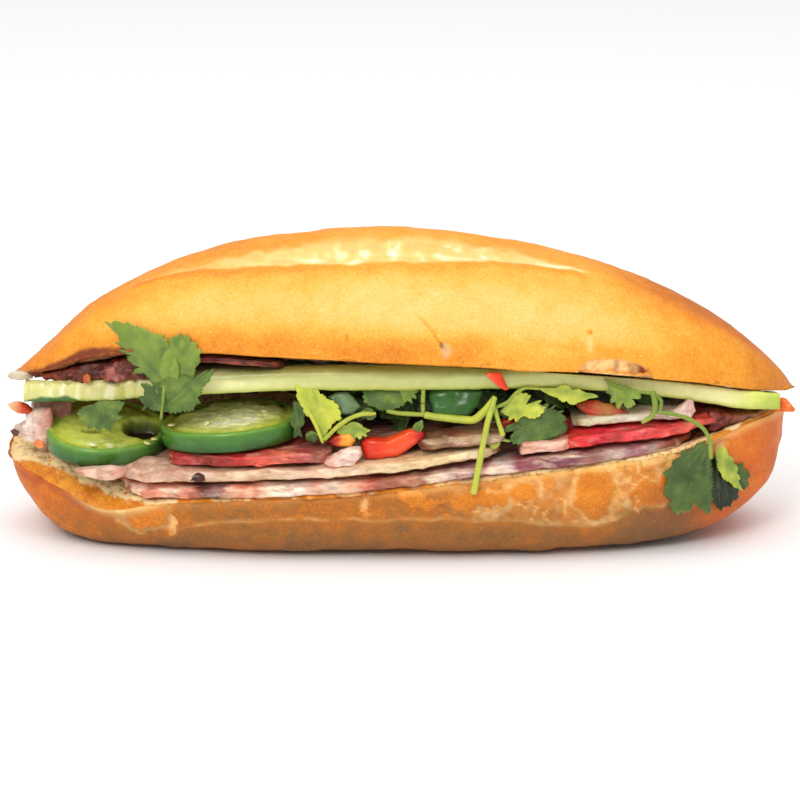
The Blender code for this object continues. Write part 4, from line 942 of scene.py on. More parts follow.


# ------------------------------------------------------------------ cucumber
# One spear cut lengthwise from a cucumber, laid under the upper half along the whole roll: pale wet flesh
# with watery streaks and seed cells, greener to the lower edge, and a strip of peel left at the left end.
# Its middle stretch and the upper edge there are darker with painted shade of the upper half.


def cucumber_spear():
    """Squared ovals 15 mm deep and 6.6 mm thick along the spear, thinner to the ends and kept below the
    upper half, with cut streaks across its front face and notches along its upper edge at the left."""
    ends = (-98.6, 100.2)
    x = stations(ends, 330)[:, None]
    t = share_along(x, ends)
    edge = rounded(t, 12)
    across, lift = edge_ring(7.5, 3.3, 64, 0.5)
    thick = 6.6 * (0.7 + 0.3 * edge) * (1 - 0.22 * t ** 4)
    deep = 15.0 * (0.5 + 0.5 * edge) * (1 - 0.25 * t ** 2)
    y = cucumber_front(x) + deep * (0.5 + 0.5 * across)
    flat = np.stack([x + 0 * y, y, 0 * y], -1)
    z = cucumber_under(x) + thick * (0.5 + 0.5 * lift) + 0.25 * noise(flat, 16, 31)
    room = through([(-100, 1.2), (-84, 3.4), (-54, 3.4), (8, 0.5), (100, 0.6)], x)
    z = np.minimum(z, top_cut(x, y) - top_bulge(x, y) - room)
    rings = np.stack([x + 0 * y, y, z], -1)
    front = smooth(-across, 0.2, 0.95)
    left = smooth(-x, 52, 66)
    streak = noise(rings * (1, 1, 0.25), 1.5, 32) * left
    notch = smooth(noise(flat * (1, 0.2, 1), 2.0, 33), 0.25, 0.6) * smooth(lift + front, 1.1, 1.7) * left
    lift_out = front * 0.16 * streak + 0.12 * noise(rings, 2.5, 34) - 0.7 * notch
    rings = rings + outward(rings) * lift_out[..., None]
    # colours along the spear, lighter at both ends and darker in the middle, where painted shade stands for
    # the upper half's shadow
    tint = banded(rings[..., 0], ((-99, "#d4d084"), (-88, "#dad48a"), (-75, "#d9d286"), (-60, "#e6e29c"),
                                  (-44, "#ebe6a6"), (-30, "#d8d88e"), (-10, "#c4c47c"), (20, "#c2c880"),
                                  (50, "#c8c97e"), (70, "#dcd892"), (85, "#ece7a4"), (94, "#d9de6a"),
                                  (100, "#b9cc4c")))
    tint = mixed(tint, "#bccb48", smooth(-lift, 0.1, 1.0) * 0.75)
    tint = mixed(tint, "#f6f3c6", smooth(streak, 0.15, 0.8) * front * 0.8)
    tint = mixed(tint, "#bdb657", smooth(-streak, 0.15, 0.8) * front * 0.6)
    # painted shadow: olive along the upper edge in the middle stretch, under the upper half
    tint = mixed(tint, "#8a8634", smooth(lift + 0.4 * noise(rings * (0.3, 1, 1), 3.0, 37), 0.1, 0.8) * 0.7
                 * smooth(x, -58, -36) * (1 - smooth(x, 40, 70)))
    tint = mixed(tint, "#7d8a3a", smooth(-lift + 0.2 * noise(rings * (0.3, 1, 1), 3.0, 38), 0.75, 1.0) * 0.5)
    tint = mixed(tint, "#9fb04c", smooth(noise(rings * (0.1, 1, 1), 3.2, 36), 0.25, 0.8) * 0.35 * (1 - left))
    peel = (smooth(-lift - 0.2 * noise(rings, 3, 35) - 0.5 * smooth(np.abs(x + 90), 2, 9), 0.1, 0.4)
            * smooth(-x, 80, 85))
    tint = mixed(tint, "#3f6d2c", peel)
    return skin(rings, tint=tint, gloss=0.4 + 0.5 * peel)


cucumber = fresh("cucumber flesh", 0.06, (0.36, 0.2), (0.8, 1.0, 0.4))
piece("cucumber_spear", cucumber, "cucumber", ["cucumber"], cucumber_spear())


# ------------------------------------------------------------------ coriander
# A handful of fresh coriander pushed in over the meats: thin toothed leaves on juicy stems.  Older leaves
# are deep green and young ones yellow-green, and the leaves inside the bundle and the one behind the hanging
# leaf are darker still with painted shade; some hang out over the crust.


def dome_front(x, z):
    """Y of the upper half's front crust at a height, from its leaning superellipse, found by repeating."""
    t = share_along(x, TOP_ENDS)
    width = np.maximum(top_half_width(x), 1)
    height = TOP_DOME_HEIGHT * np.clip(1 - t ** 2, 0.01, 1) ** np.where(x < 1, 1.04, 0.73)
    y = -width
    for _ in range(12):
        v = np.clip(y * np.sin(LEAN) + (z - top_level(x)) * np.cos(LEAN), 0, 0.93 * height)
        across = -width * rounded(v / height, 2.3)
        y = 0.5 * y + 0.5 * (across * np.cos(LEAN) + v * np.sin(LEAN))
    return y


def leaf(outline, lay, shade, seed, teeth, base=None, out=(0, -1, 0), fold=0.10, ripple=0.45, thick=0.3,
         middle=None, spokes=168, shares=(0.04, 0.16, 0.3, 0.44, 0.57, 0.69, 0.79, 0.88, 0.95, 1.0)):
    """A toothed leaf from the tips and notches of its outline, in mm on its own flat.  Its reach at each
    angle is read between them and nicked by small teeth; rings shrink from the rim to the middle over the
    upper side and back under.  It is creased along the veins that run from its base to the tips, rippled,
    and laid in place by lay(across, up)."""
    outline = np.array(outline, float)
    middle = (outline.max(0) + outline.min(0)) / 2 if middle is None else np.array(middle, float)
    base = middle if base is None else np.array(base, float)
    spoke = outline - middle
    angle, length = np.arctan2(spoke[:, 1], spoke[:, 0]), np.hypot(*spoke.T)
    order = np.argsort(angle)
    turn = np.linspace(-np.pi, np.pi, spokes, endpoint=False)
    reach = np.interp(turn, angle[order], length[order], period=2 * np.pi)
    wave = np.abs(np.sin(turn * teeth / 2 + 0.9 * np.sin(2 * turn + seed) + seed))
    reach = (reach * (1 - 0.10 * (1 - wave ** 0.7)
                      - 0.03 * (1 - np.abs(np.sin(turn * teeth * 1.13 + seed)) ** 0.8)))
    share = np.concatenate([shares, shares[::-1]])[:, None]
    flat_part = np.full(len(shares) - 1, 0.5)
    side = np.concatenate([flat_part, [0.15, -0.15], -flat_part])[:, None]
    a, b = middle[0] + share * reach * np.cos(turn), middle[1] + share * reach * np.sin(turn)
    sharp = length[order] > 0.97 * np.maximum(np.roll(length[order], 1), np.roll(length[order], -1))
    tips = outline[order][sharp]
    size = length.max()
    distance = np.full(a.shape, 99.0)
    for tip in tips:
        along = tip - base
        t = np.clip(((a - base[0]) * along[0] + (b - base[1]) * along[1]) / max(along @ along, 1e-9), 0, 0.86)
        distance = np.minimum(distance, np.hypot(a - base[0] - t * along[0], b - base[1] - t * along[1])
                              + 0.25 * t)
    vein = np.exp(-(distance / (0.14 + 0.012 * size)) ** 2) * (share < 0.97)
    flat = np.stack([a, b, 0 * a], -1)
    rise = (fold * np.minimum(distance, 0.3 * size)
            + ripple * noise(flat, 0.5 * size + 1, seed) * (0.3 + share))
    rise = rise + 0.4 * ripple * noise(flat, 0.16 * size + 0.6, seed + 3) * share - 0.08 * vein
    rings = lay(a, b) + (rise + side * thick)[..., None] * np.array(out, float)
    tone = shade + 0.09 * noise(flat, 0.5 * size, seed + 1) + 0.07 * noise(flat, 0.15 * size + 0.5, seed + 2)
    tone = tone - 0.06 * (side < 0) + 0.10 * np.minimum(distance, 1.6) / 1.6 - 0.05
    return skin(rings, shade=tone, vein=0.8 * vein)


def upright(depth, lean=0.0, turned=0.0, about=(0.0, 0.0)):
    """Lays a leaf on a nearly upright plane at a depth, leaning back with height and turned along X."""
    return lambda a, b: np.stack([a, depth + lean * (b - about[1]) + turned * (a - about[0]), b], -1)


def draped(surface, depth, off, slide=0.287):
    """Lays a leaf on the crust y = surface(x, z): points drawn at one depth slide down by a share of how
    far they lie behind it."""
    def lay(a, b):
        y = surface(a, b) - off
        y = surface(a, b - slide * (y - depth)) - off
        return np.stack([a, y, b - slide * (y - depth)], -1)
    return lay


def loose(middle, right, up):
    """Lays a leaf on the plane of two directions through a point."""
    right, up = np.array(right, float), np.array(up, float)
    return lambda a, b: np.array(middle, float) + a[..., None] * right + b[..., None] * up


def fan(size, spin, wide):
    """Outline of the usual five-lobed leaflet: tips and notches in turn, scaled and turned by degrees."""
    polar = np.array([(90, 1.0), (74, 0.72), (58, 0.9), (36, 0.62), (20, 0.9), (0, 0.7), (-18, 0.72),
                      (-52, 0.34), (-90, 0.22), (-128, 0.34), (198, 0.72), (180, 0.7), (160, 0.9),
                      (144, 0.62), (122, 0.9), (106, 0.72)])
    turn = np.radians(polar[:, 0] + spin)
    return np.stack([wide * size * polar[:, 1] * np.cos(turn), size * polar[:, 1] * np.sin(turn)], -1)


def stem(points, thick, shade, end=0.6):
    """A round juicy stalk along a bent line: circles across it, a tenth thinner at its start and as much as
    `end` says at its end, growing over three tenths of its length, with an uneven surface."""
    points, begin = np.asarray(points, float), 0.9
    spots = np.linspace(0, 1, len(points))
    share = 0.5 + 0.5 * np.sin(np.linspace(-1, 1, 36) * 1.45)
    path = np.stack([through(np.column_stack([spots, points[:, k]]), share) for k in range(3)], -1)
    ahead = np.gradient(path, axis=0)
    ahead /= np.linalg.norm(ahead, axis=1, keepdims=True)
    side = np.cross(ahead, (0, 0, 1.0))
    side /= np.maximum(np.linalg.norm(side, axis=1, keepdims=True), 1e-6)
    up = np.cross(side, ahead)
    turn = np.linspace(0, 2 * np.pi, 10, endpoint=False)
    reach = ((begin + (1 - begin) * np.sqrt(np.clip(share / 0.3, 0, 1)))
             * (end + (1 - end) * np.sqrt(np.clip((1 - share) / 0.3, 0, 1))) / 2)[:, None, None]
    across = np.cos(turn)[None, :, None] * thick * side[:, None]
    lift = np.sin(turn)[None, :, None] * thick * up[:, None]
    rings = path[:, None] + reach * (across + lift)
    rings = rings + outward(rings) * (0.12 * noise(rings, 3.0, 1) * (reach[..., 0] * 2))[..., None]
    poles = [path[0] - ahead[0] * 0.2 * thick * begin, path[-1] + ahead[-1] * 0.2 * thick * end]
    return skin(rings, poles, shade=shade + 0.1 * share[:, None], vein=0.35)


# Coriander leaf: satin, thin enough to glow, with paler veins; colour runs from deep to yellow green.
herb, tree, place, shader = blank("coriander leaf")
shade = add(tree, "Attribute", attribute_name="shade").outputs["Fac"]
vein = add(tree, "Attribute", attribute_name="vein").outputs["Fac"]
cloud = add(tree, "TexNoise", {"Vector": place, "Scale": 380, "Detail": 4, "Roughness": 0.6})  # 2.6 mm
shift = add(tree, "MapRange", {0: cloud.outputs["Fac"], 1: 0.3, 2: 0.7, 3: -0.06, 4: 0.06})
tone = add(tree, "Math", {0: shade, 1: shift.outputs[0]}, operation="ADD")
green = add(tree, "ValToRGB", {"Fac": tone.outputs[0]}, stops=(
    (0.0, "#10180a"), (0.25, "#2c421a"), (0.5, "#55702f"), (0.75, "#8a9e3a"), (1.0, "#ccd04a")))
pale = add(tree, "MapRange", {0: vein, 1: 0, 2: 1, 3: 0.0, 4: 0.3})
whole = add(tree, "Mix", {0: pale.outputs[0], 6: green.outputs["Color"], 7: "#a9ba5c"}, data_type="RGBA")
fine = add(tree, "TexNoise", {"Vector": place, "Scale": 1300, "Detail": 2})
bump = add(tree, "Bump", {"Strength": 0.3, "Distance": 0.0002, "Height": fine.outputs["Fac"]})
fill(tree, shader, {"Base Color": whole.outputs[2], "Roughness": 0.42, "Normal": bump.outputs["Normal"],
                    "IOR": 1.4, "Subsurface Weight": 0.15, "Subsurface Radius": (0.4, 0.8, 0.15),
                    "Subsurface Scale": 0.001})


def heap_core():
    """The inside of the bundle: squared ovals from the slices up to just under the spear, drawn in by a
    few millimetres so that the leaves stand out of it, and dark green, which is painted shade."""
    ends = (-70, 72)
    x = stations(ends, 110)[:, None]
    across, lift = edge_ring(10, 3, 40, 0.6)
    edge = rounded(share_along(x, ends), 4)
    front = (through([(-72, 5.5), (-28, 4.5), (-20, -17.5), (30, -18.5), (60, -15), (74, -12)], x)
             + 0.8 * np.sin(x / 3.1))
    back = through([(-72, 12), (-60, 15), (0, 15), (30, 10), (60, 3), (74, -4)], x)
    y = (front + back) / 2 + (back - front) / 2 * edge * across
    floor = on_level(LEVEL_4)(x, y)
    roof = np.minimum(np.where(y < cucumber_front(x) + 16.5, cucumber_under(x), 99) - 1.2,
                      top_cut(x, y) - 2.0)
    z = floor + (np.maximum(roof, floor + 1) - floor) * (0.5 + 0.45 * lift)
    rings = np.stack([x + 0 * y, y, z], -1)
    rings = rings + outward(rings) * (0.8 * noise(rings, 4, 71))[..., None]
    # dark green: painted shade inside the bundle
    return skin(rings, shade=0.10 + 0.12 * noise(rings, 5, 72), vein=0 * y)


# filler leaves in the gap under the spear, their dark greens painted shade of the bundle's inside
random = np.random.default_rng(12)
filler = []
for x in np.arange(-19, 74, 2.6):
    depth = (float(through([(-20, -22.0), (30, -23.0), (60, -20.0), (74, -15.5)], np.array(x)))
             + random.uniform(-1.5, 2.0))
    floor = float(on_level(LEVEL_4)(np.array(x), depth))
    roof = float(cucumber_under(np.array(x))) - 0.6
    spin, tip = random.uniform(-0.6, 0.6), random.uniform(0.3, 1.1)
    right = np.array((np.cos(spin), np.sin(spin), random.uniform(-0.3, 0.3)))
    out = np.cross(right, (np.sin(spin) * np.sin(tip), np.cos(spin) * np.sin(tip), np.cos(tip)))
    up = np.cross(out, right)
    filler.append(leaf(fan(random.uniform(5.0, 7.0), random.uniform(-70, 70), 0.95),
                       loose((x, depth, random.uniform(floor + 0.6, max(roof - 0.6, floor + 0.8))), right,
                             up), random.uniform(0.12, 0.42), int(random.integers(999)), out=out,
                       ripple=0.3, thick=0.22, teeth=24,
                       spokes=96, shares=(0.05, 0.3, 0.55, 0.78, 0.92, 1.0)))

bright_leaf = ((-26.8, 47.1), (-25.6, 49.5), (-24.3, 48.3), (-22.7, 48.9), (-22.2, 47.0), (-22.6, 45.8),
               (-20.5, 44.9), (-18.4, 43.2), (-15.3, 41.0), (-14.9, 39.3), (-14.5, 38.1), (-16.8, 36.8),
               (-18.2, 34.6), (-19.7, 31.9), (-20.9, 34.8), (-22.0, 37.9), (-24.4, 39.2), (-25.1, 41.2),
               (-26.4, 43.3))
low_leaf = ((-16.6, 35.3), (-13.7, 36.4), (-10.6, 37.0), (-9.0, 35.7), (-7.2, 34.9), (-8.4, 34.2),
            (-8.2, 33.2), (-9.4, 33.6), (-10.1, 32.5), (-11.0, 33.4), (-11.8, 32.3), (-12.6, 33.3),
            (-13.9, 32.8), (-15.8, 34.0))
group_leaf = ((-9.5, 44.6), (-6.5, 46.0), (-3.4, 46.8), (0.0, 47.4), (1.8, 47.6), (2.4, 44.6),
              (1.2, 43.4), (2.0, 41.6), (-0.4, 40.4), (-3.4, 39.6), (-6.2, 40.3), (-9.3, 42.0))
group_lobe = ((0.2, 45.6), (2.0, 47.6), (4.4, 46.8), (5.3, 45.2), (3.9, 44.4), (4.6, 43.2), (3.2, 43.4),
              (3.6, 41.8), (2.2, 42.6), (1.6, 41.8), (0.8, 43.6))
arch_leaf = ((26.1, 40.0), (27.4, 42.3), (29.3, 43.8), (31.3, 45.2), (34.2, 44.5), (37.1, 43.4),
             (38.2, 41.4), (36.2, 42.5), (34.2, 42.6), (32.7, 42.0), (32.5, 39.2), (31.4, 38.6),
             (30.6, 37.2), (29.6, 38.6), (28.4, 37.9), (28.0, 39.4))
curled_leaf = ((24.9, 33.8), (28.1, 32.2), (31.4, 31.6), (35.2, 31.8), (39.0, 33.0), (42.3, 34.4),
               (44.2, 35.9), (43.0, 37.0), (43.9, 38.7), (42.5, 39.2), (42.9, 40.6), (41.4, 40.4),
               (41.2, 42.2), (40.0, 41.0), (39.2, 42.8), (38.2, 41.0), (36.8, 42.2), (35.0, 41.6),
               (33.4, 41.2), (32.2, 38.8), (30.4, 37.6), (29.8, 35.4))
strip_leaf = ((35.8, 46.1), (40.4, 46.0), (44.9, 45.6), (48.4, 44.9), (52.6, 44.2), (49.0, 43.4),
              (46.6, 42.6), (44.9, 41.9), (43.4, 42.9), (42.0, 42.6), (41.0, 43.6), (38.4, 44.6))
small_leaf = ((53.3, 48.0), (55.6, 46.8), (57.9, 46.2), (60.6, 45.7), (63.0, 44.8), (62.6, 43.0),
              (61.5, 41.9), (60.2, 43.2), (59.2, 40.5), (58.0, 42.2), (56.7, 40.2), (56.0, 42.2),
              (54.6, 41.9), (55.0, 43.8), (53.5, 44.4), (54.4, 45.8))
# The young yellow-green leaf left of the middle, with its pale stalks.
young_leaf = [
    leaf(bright_leaf, upright(-30.5, 0.10, 0.0, (-20, 40)), 0.93, 3, base=(-19.7, 32.5), teeth=22,
         fold=0.16, ripple=0.5),
    leaf(low_leaf, upright(-31.4, 0.35, 0.0, (-12, 34)), 0.78, 5, base=(-16, 35), teeth=20),
    stem(((-25.4, -30.6, 42.6), (-22.2, -31.4, 37.8), (-19.7, -31.6, 31.6)), 1.1, 0.95),
    stem(((-19.4, -31.6, 32.4), (-15.3, -31.8, 36.6), (-12.2, -31.2, 38.4), (-9.0, -30.6, 39.2),
          (-6.0, -30.0, 39.1)), 1.2, 0.86),
    leaf(((-9.6, 40.0), (-6.4, 39.9), (-5.8, 38.6), (-7.2, 37.4), (-8.6, 38.0), (-10.4, 38.6)),
         upright(-29.8), 0.5, 6, teeth=10),
    leaf(((-27.2, 42.8), (-25.4, 41.6), (-24.6, 37.8), (-25.6, 35.0), (-25.0, 32.4), (-26.4, 32.8),
          (-27.6, 31.8), (-27.2, 34.8), (-28.2, 37.2), (-27.4, 39.4)), upright(-29.4), 0.40, 9, teeth=16),
    leaf(((-24.0, 34.0), (-22.0, 34.4), (-20.9, 33.0), (-22.2, 31.6), (-24.0, 31.9)), upright(-30.4), 0.5,
         10, teeth=10)
]
# The green leaves in the middle, under the spear.
middle_leaves = [
    leaf(group_leaf, upright(-28.6, 0.25, 0.0, (-3, 43)), 0.46, 11, base=(6.0, 46.5), teeth=26,
         ripple=0.8, fold=0.14),
    leaf(group_lobe, upright(-29.8, 0.15, 0.0, (3, 44)), 0.64, 13, base=(4.6, 47), teeth=20),
    leaf(((4.2, 47.4), (6.6, 48.6), (8.6, 47.2), (8.4, 45.4), (7.0, 45.8), (6.2, 44.4), (5.4, 45.6),
          (4.4, 45.2)),
         upright(-29.6, 0.3, 0.0, (6, 46)), 0.42, 17, base=(6.2, 44.6), teeth=12),
    stem(((6.4, -29.9, 46.4), (6.2, -30.2, 42.0), (6.3, -30.0, 38.4)), 1.1, 0.74),
    stem(((-3.2, -29.2, 39.6), (0.4, -29.6, 39.1), (6.4, -30.0, 38.8), (11.0, -30.6, 38.2)), 1.2, 0.76,
         end=1.0),
    stem(((6.6, -30.6, 38.9), (10.4, -31.0, 38.4), (14.6, -31.6, 38.1), (18.6, -32.4, 38.0),
          (22.0, -33.4, 40.6), (24.8, -34.0, 44.6)), 2.1, 0.88, end=0.75),
    leaf(((2.6, 31.9), (4.2, 32.6), (5.0, 34.0), (6.0, 35.2), (6.2, 37.8), (4.6, 37.2), (3.6, 35.6),
          (2.4, 34.2)),
         upright(-31.6, 0.15, 0.0, (4, 35)), 0.55, 15, base=(5.8, 37.6), teeth=12)
]
# The stalk that hangs over the front, with its branches.
hanging_stalk = [
    stem(((24.7, -34.2, 44.8), (22.8, -36.8, 38.4), (20.9, -38.0, 29.0), (19.3, -37.9, 19.8)), 1.6, 0.86,
         end=1.1),
    stem(((24.6, -33.8, 42.0), (25.6, -34.2, 38.4), (26.9, -33.8, 34.4)), 1.25, 0.88, end=1.1),
    leaf(((22.8, 34.0), (24.4, 34.8), (25.8, 33.6), (26.0, 31.4), (24.8, 30.4), (23.2, 31.6)),
         upright(-33.6), 0.84, 27, teeth=10),
    stem(((25.2, -33.6, 41.9), (27.8, -32.4, 42.7), (30.6, -31.2, 45.2), (33.0, -30.8, 46.2),
          (36.4, -30.6, 45.9)), 0.9, 0.74),
    stem(((22.8, -34.4, 35.0), (25.4, -34.0, 33.5), (28.6, -33.2, 32.6)), 0.8, 0.7),
    leaf(arch_leaf, upright(-32.2, 0.2, 0.0, (31, 41)), 0.88, 19, base=(31.0, 44.4), teeth=20, fold=0.14),
    leaf(strip_leaf, upright(-30.8, 0.3, 0.0, (44, 44)), 0.84, 21, base=(36, 45.8), teeth=18, fold=0.12),
    leaf(curled_leaf, upright(-32.0, 0.12, -0.03, (34, 37)), 0.46, 25, base=(26.5, 33.6), teeth=40,
         fold=0.12, ripple=0.8)
]
# The light leaf and its curled stalk at the right.
light_leaf = [
    leaf(small_leaf, upright(-29.6, 0.15, 0.0, (58, 43)), 0.68, 29, base=(63.6, 44.6), teeth=26,
         fold=0.12),
    stem(((53.2, -29.2, 48.2), (56.2, -29.6, 46.6), (62.4, -29.6, 44.9), (65.9, -29.8, 44.6)), 0.7, 0.6),
    stem(((65.7, -29.7, 45.0), (66.4, -30.1, 41.4), (65.8, -30.2, 38.8), (63.0, -30.0, 36.6)), 1.5, 0.66,
         end=0.5),
    stem(((66.6, -29.9, 44.2), (68.0, -29.8, 42.0), (67.6, -30.0, 39.4)), 0.9, 0.6)
]
piece("coriander_bundle", herb, "coriander", ["herb_heap"], heap_core(), *filler, *young_leaf,
      *middle_leaves, *hanging_stalk,
      *light_leaf)

top_leaf = ((-76.8, 66.0), (-73.4, 66.0), (-70.2, 65.8), (-67.5, 64.9), (-65.1, 63.7), (-62.7, 62.4),
            (-61.3, 62.6), (-59.9, 61.0), (-58.8, 58.8), (-57.0, 55.0), (-57.0, 50.0), (-60.0, 46.8),
            (-62.4, 47.4), (-64.6, 49.8), (-66.0, 51.5), (-69.6, 51.4), (-67.6, 53.0), (-69.4, 53.9),
            (-67.8, 55.6), (-71.2, 56.6), (-70.4, 57.8), (-73.8, 58.4), (-72.6, 60.0), (-75.2, 61.1),
            (-72.8, 62.3))
right_leaf = ((-59.0, 58.6), (-59.3, 61.5), (-58.1, 61.2), (-57.5, 62.0), (-56.9, 61.6), (-56.3, 63.0),
              (-55.2, 61.4), (-54.1, 62.3), (-53.4, 60.2), (-51.5, 59.8), (-52.0, 58.5), (-50.2, 57.6),
              (-51.2, 56.3), (-50.9, 54.5), (-52.2, 53.0), (-52.6, 51.0), (-54.0, 48.5), (-58.0, 47.0),
              (-61.5, 50.0), (-61.5, 55.0))
low_right_leaf = ((-53.0, 50.0), (-50.2, 51.4), (-48.6, 53.2), (-46.9, 53.4), (-48.0, 50.8),
                  (-48.8, 49.2), (-50.5, 47.8), (-50.8, 45.8), (-51.9, 45.0), (-50.9, 43.4),
                  (-52.3, 43.0), (-53.2, 41.2), (-56.0, 41.2), (-60.0, 40.9), (-62.8, 42.4),
                  (-64.0, 45.0), (-62.0, 48.6), (-57.5, 50.5))
side_leaf = ((-67.2, 48.7), (-65.9, 47.2), (-64.7, 48.9), (-63.9, 48.2), (-62.9, 49.1), (-61.0, 47.4),
             (-60.2, 44.4), (-61.0, 41.4), (-64.4, 41.7), (-65.2, 42.4), (-67.0, 41.2), (-65.9, 43.0),
             (-67.6, 45.3), (-66.0, 45.4))
left_low_leaf = ((-83.4, 40.2), (-79.0, 42.6), (-74.0, 43.6), (-70.6, 43.2), (-71.4, 41.4), (-71.2, 39.0),
                 (-72.8, 39.4), (-73.2, 37.4), (-74.0, 36.6), (-74.6, 34.6), (-76.4, 36.0), (-77.6, 34.6),
                 (-79.0, 36.0), (-80.6, 35.4), (-81.6, 37.0))


def on_dome(x, z):
    """Front crust of the upper half, and level with its rim below that."""
    return np.where(z > 50, dome_front(x, np.maximum(z, 50.0)), dome_front(x, 50.0) + 0.06 * (50 - z))


def on_base(x, z):
    """Front crust of the lower half, and level with its rim above that."""
    return np.minimum(front_crust(x, np.clip(z, 8, 26)), -16.0)


piece("coriander_spray_left", herb, "coriander", ["herb_spray_left"],
      leaf(top_leaf, draped(on_dome, -35.5, 0.7), 0.62, 41, base=(-59.5, 47), teeth=44, fold=0.10,
           ripple=0.7, middle=(-61.5, 53)),
      leaf(right_leaf, draped(on_dome, -35.5, 1.1), 0.64, 42, base=(-58.5, 47), teeth=36, fold=0.10,
           ripple=0.5),
      leaf(low_right_leaf, draped(on_dome, -35.5, 1.5), 0.50, 43, base=(-60.5, 42.5), teeth=34, fold=0.12,
           ripple=0.6),
      leaf(side_leaf, draped(on_dome, -35.5, 1.7), 0.40, 45, base=(-61.5, 42), teeth=24, fold=0.12),
      leaf(left_low_leaf, upright(-32.6, -0.25, 0.0, (-77, 40)), 0.50, 47, base=(-77.5, 43.2), teeth=32,
           fold=0.10, ripple=0.7),
      stem(((-61.5, -33.0, 38.6), (-60.8, -34.6, 44.0), (-60.4, -35.6, 48.0)), 0.8, 0.6))

hanging_leaf = ((78.8, 32.2), (77.5, 31.2), (74.9, 30.6), (75.0, 29.2), (73.3, 29.5), (73.2, 27.9),
                (70.8, 26.8), (71.0, 25.2), (68.3, 23.2), (70.0, 21.6), (69.0, 19.2), (69.1, 16.8),
                (70.8, 15.6), (70.5, 13.4), (71.8, 12.2), (73.1, 11.3), (74.4, 12.8), (75.6, 11.7),
                (76.6, 13.0), (77.0, 15.8), (78.6, 15.6), (80.2, 12.4), (81.6, 10.8), (82.4, 14.1),
                (82.2, 18.0), (82.4, 22.0), (82.0, 26.0), (81.4, 30.0), (80.2, 32.2))
dark_leaf = ((82.0, 27.7), (81.4, 22.0), (81.6, 17.7), (83.0, 14.6), (84.6, 12.4), (85.8, 13.6),
             (87.6, 13.6), (88.2, 15.2), (89.8, 15.6), (89.6, 17.6), (90.4, 19.4), (87.6, 21.2),
             (84.6, 25.2))
folded_lobe = ((83.0, 30.3), (84.8, 30.6), (86.0, 29.6), (86.4, 28.2), (87.8, 27.2), (87.8, 25.8),
               (89.2, 24.6), (88.9, 23.0), (90.0, 21.8), (89.6, 20.4), (90.8, 18.2), (89.0, 18.8),
               (86.9, 20.6), (84.2, 23.4), (83.0, 26.6))
far_lobe = ((87.6, 25.6), (89.4, 25.4), (90.6, 26.3), (91.6, 24.2), (90.6, 23.4), (92.9, 22.3),
            (91.7, 21.2), (92.8, 20.0), (91.3, 18.2), (89.6, 19.0), (88.4, 22.0))
piece("coriander_spray_right", herb, "coriander", ["herb_spray_right"],
      leaf(hanging_leaf, draped(on_base, -31.0, 1.7), 0.42, 51, base=(80.8, 31.6), teeth=44, fold=0.10,
           ripple=0.6),
      # the leaf behind the hanging one gets the darkest green: painted shade
      leaf(dark_leaf, draped(on_base, -31.0, 1.1), 0.03, 53, base=(83, 28), teeth=30),
      leaf(far_lobe, draped(on_base, -31.0, 1.3), 0.34, 55, base=(88, 22.5), teeth=20),
      leaf(folded_lobe, draped(on_base, -31.0, 2.2), 0.76, 57, base=(83.6, 30), teeth=26, fold=0.16),
      stem(((66.4, -29.9, 39.5), (69.8, -30.0, 39.2), (73.9, -30.0, 38.2), (77.0, -29.8, 36.6),
            (79.6, -29.6, 34.2), (80.9, -29.8, 31.2), (81.2, -30.2, 27.0)), 1.1, 0.64, end=1.0))


# ------------------------------------------------------------------ the upper half of the roll
# The domed top of the same baguette, leaning back over the filling.  The baker's one long cut opened in the
# oven into a pale lens with a crisp lip along its front; the crust thins out to a torn rim.

SPLIT_DEPTH, SPLIT_WIDEST = 1.5, 13.0


def split_front(x):
    """Where the lip of the opened cut runs, measured across the leaning dome."""
    return through([(-72, -15.5), (-65, -19.0), (-54, -22.7), (-43, -26.0), (-32, -27.2), (-10, -28.3),
                    (0, -28.1), (13, -27.0), (27, -24.5), (37, -22.9), (46, -21.5), (60, -19.5)], x)


def split_width(x):
    """How wide the pale lens behind that lip is."""
    return through([(-72, 0), (-64, 1.4), (-54, 3.4), (-43, 5.8), (-32, 8.2), (-19, 10.8), (-5, 12.4),
                    (8, 13.0), (20, 11.6), (30, 8.4), (38, 4.6), (44, 1.8), (50, 0)], x)


def flat_line(x):
    """Points along X alone, for lumps that do not change with height."""
    return np.stack([x, 0 * x, 0 * x], -1)


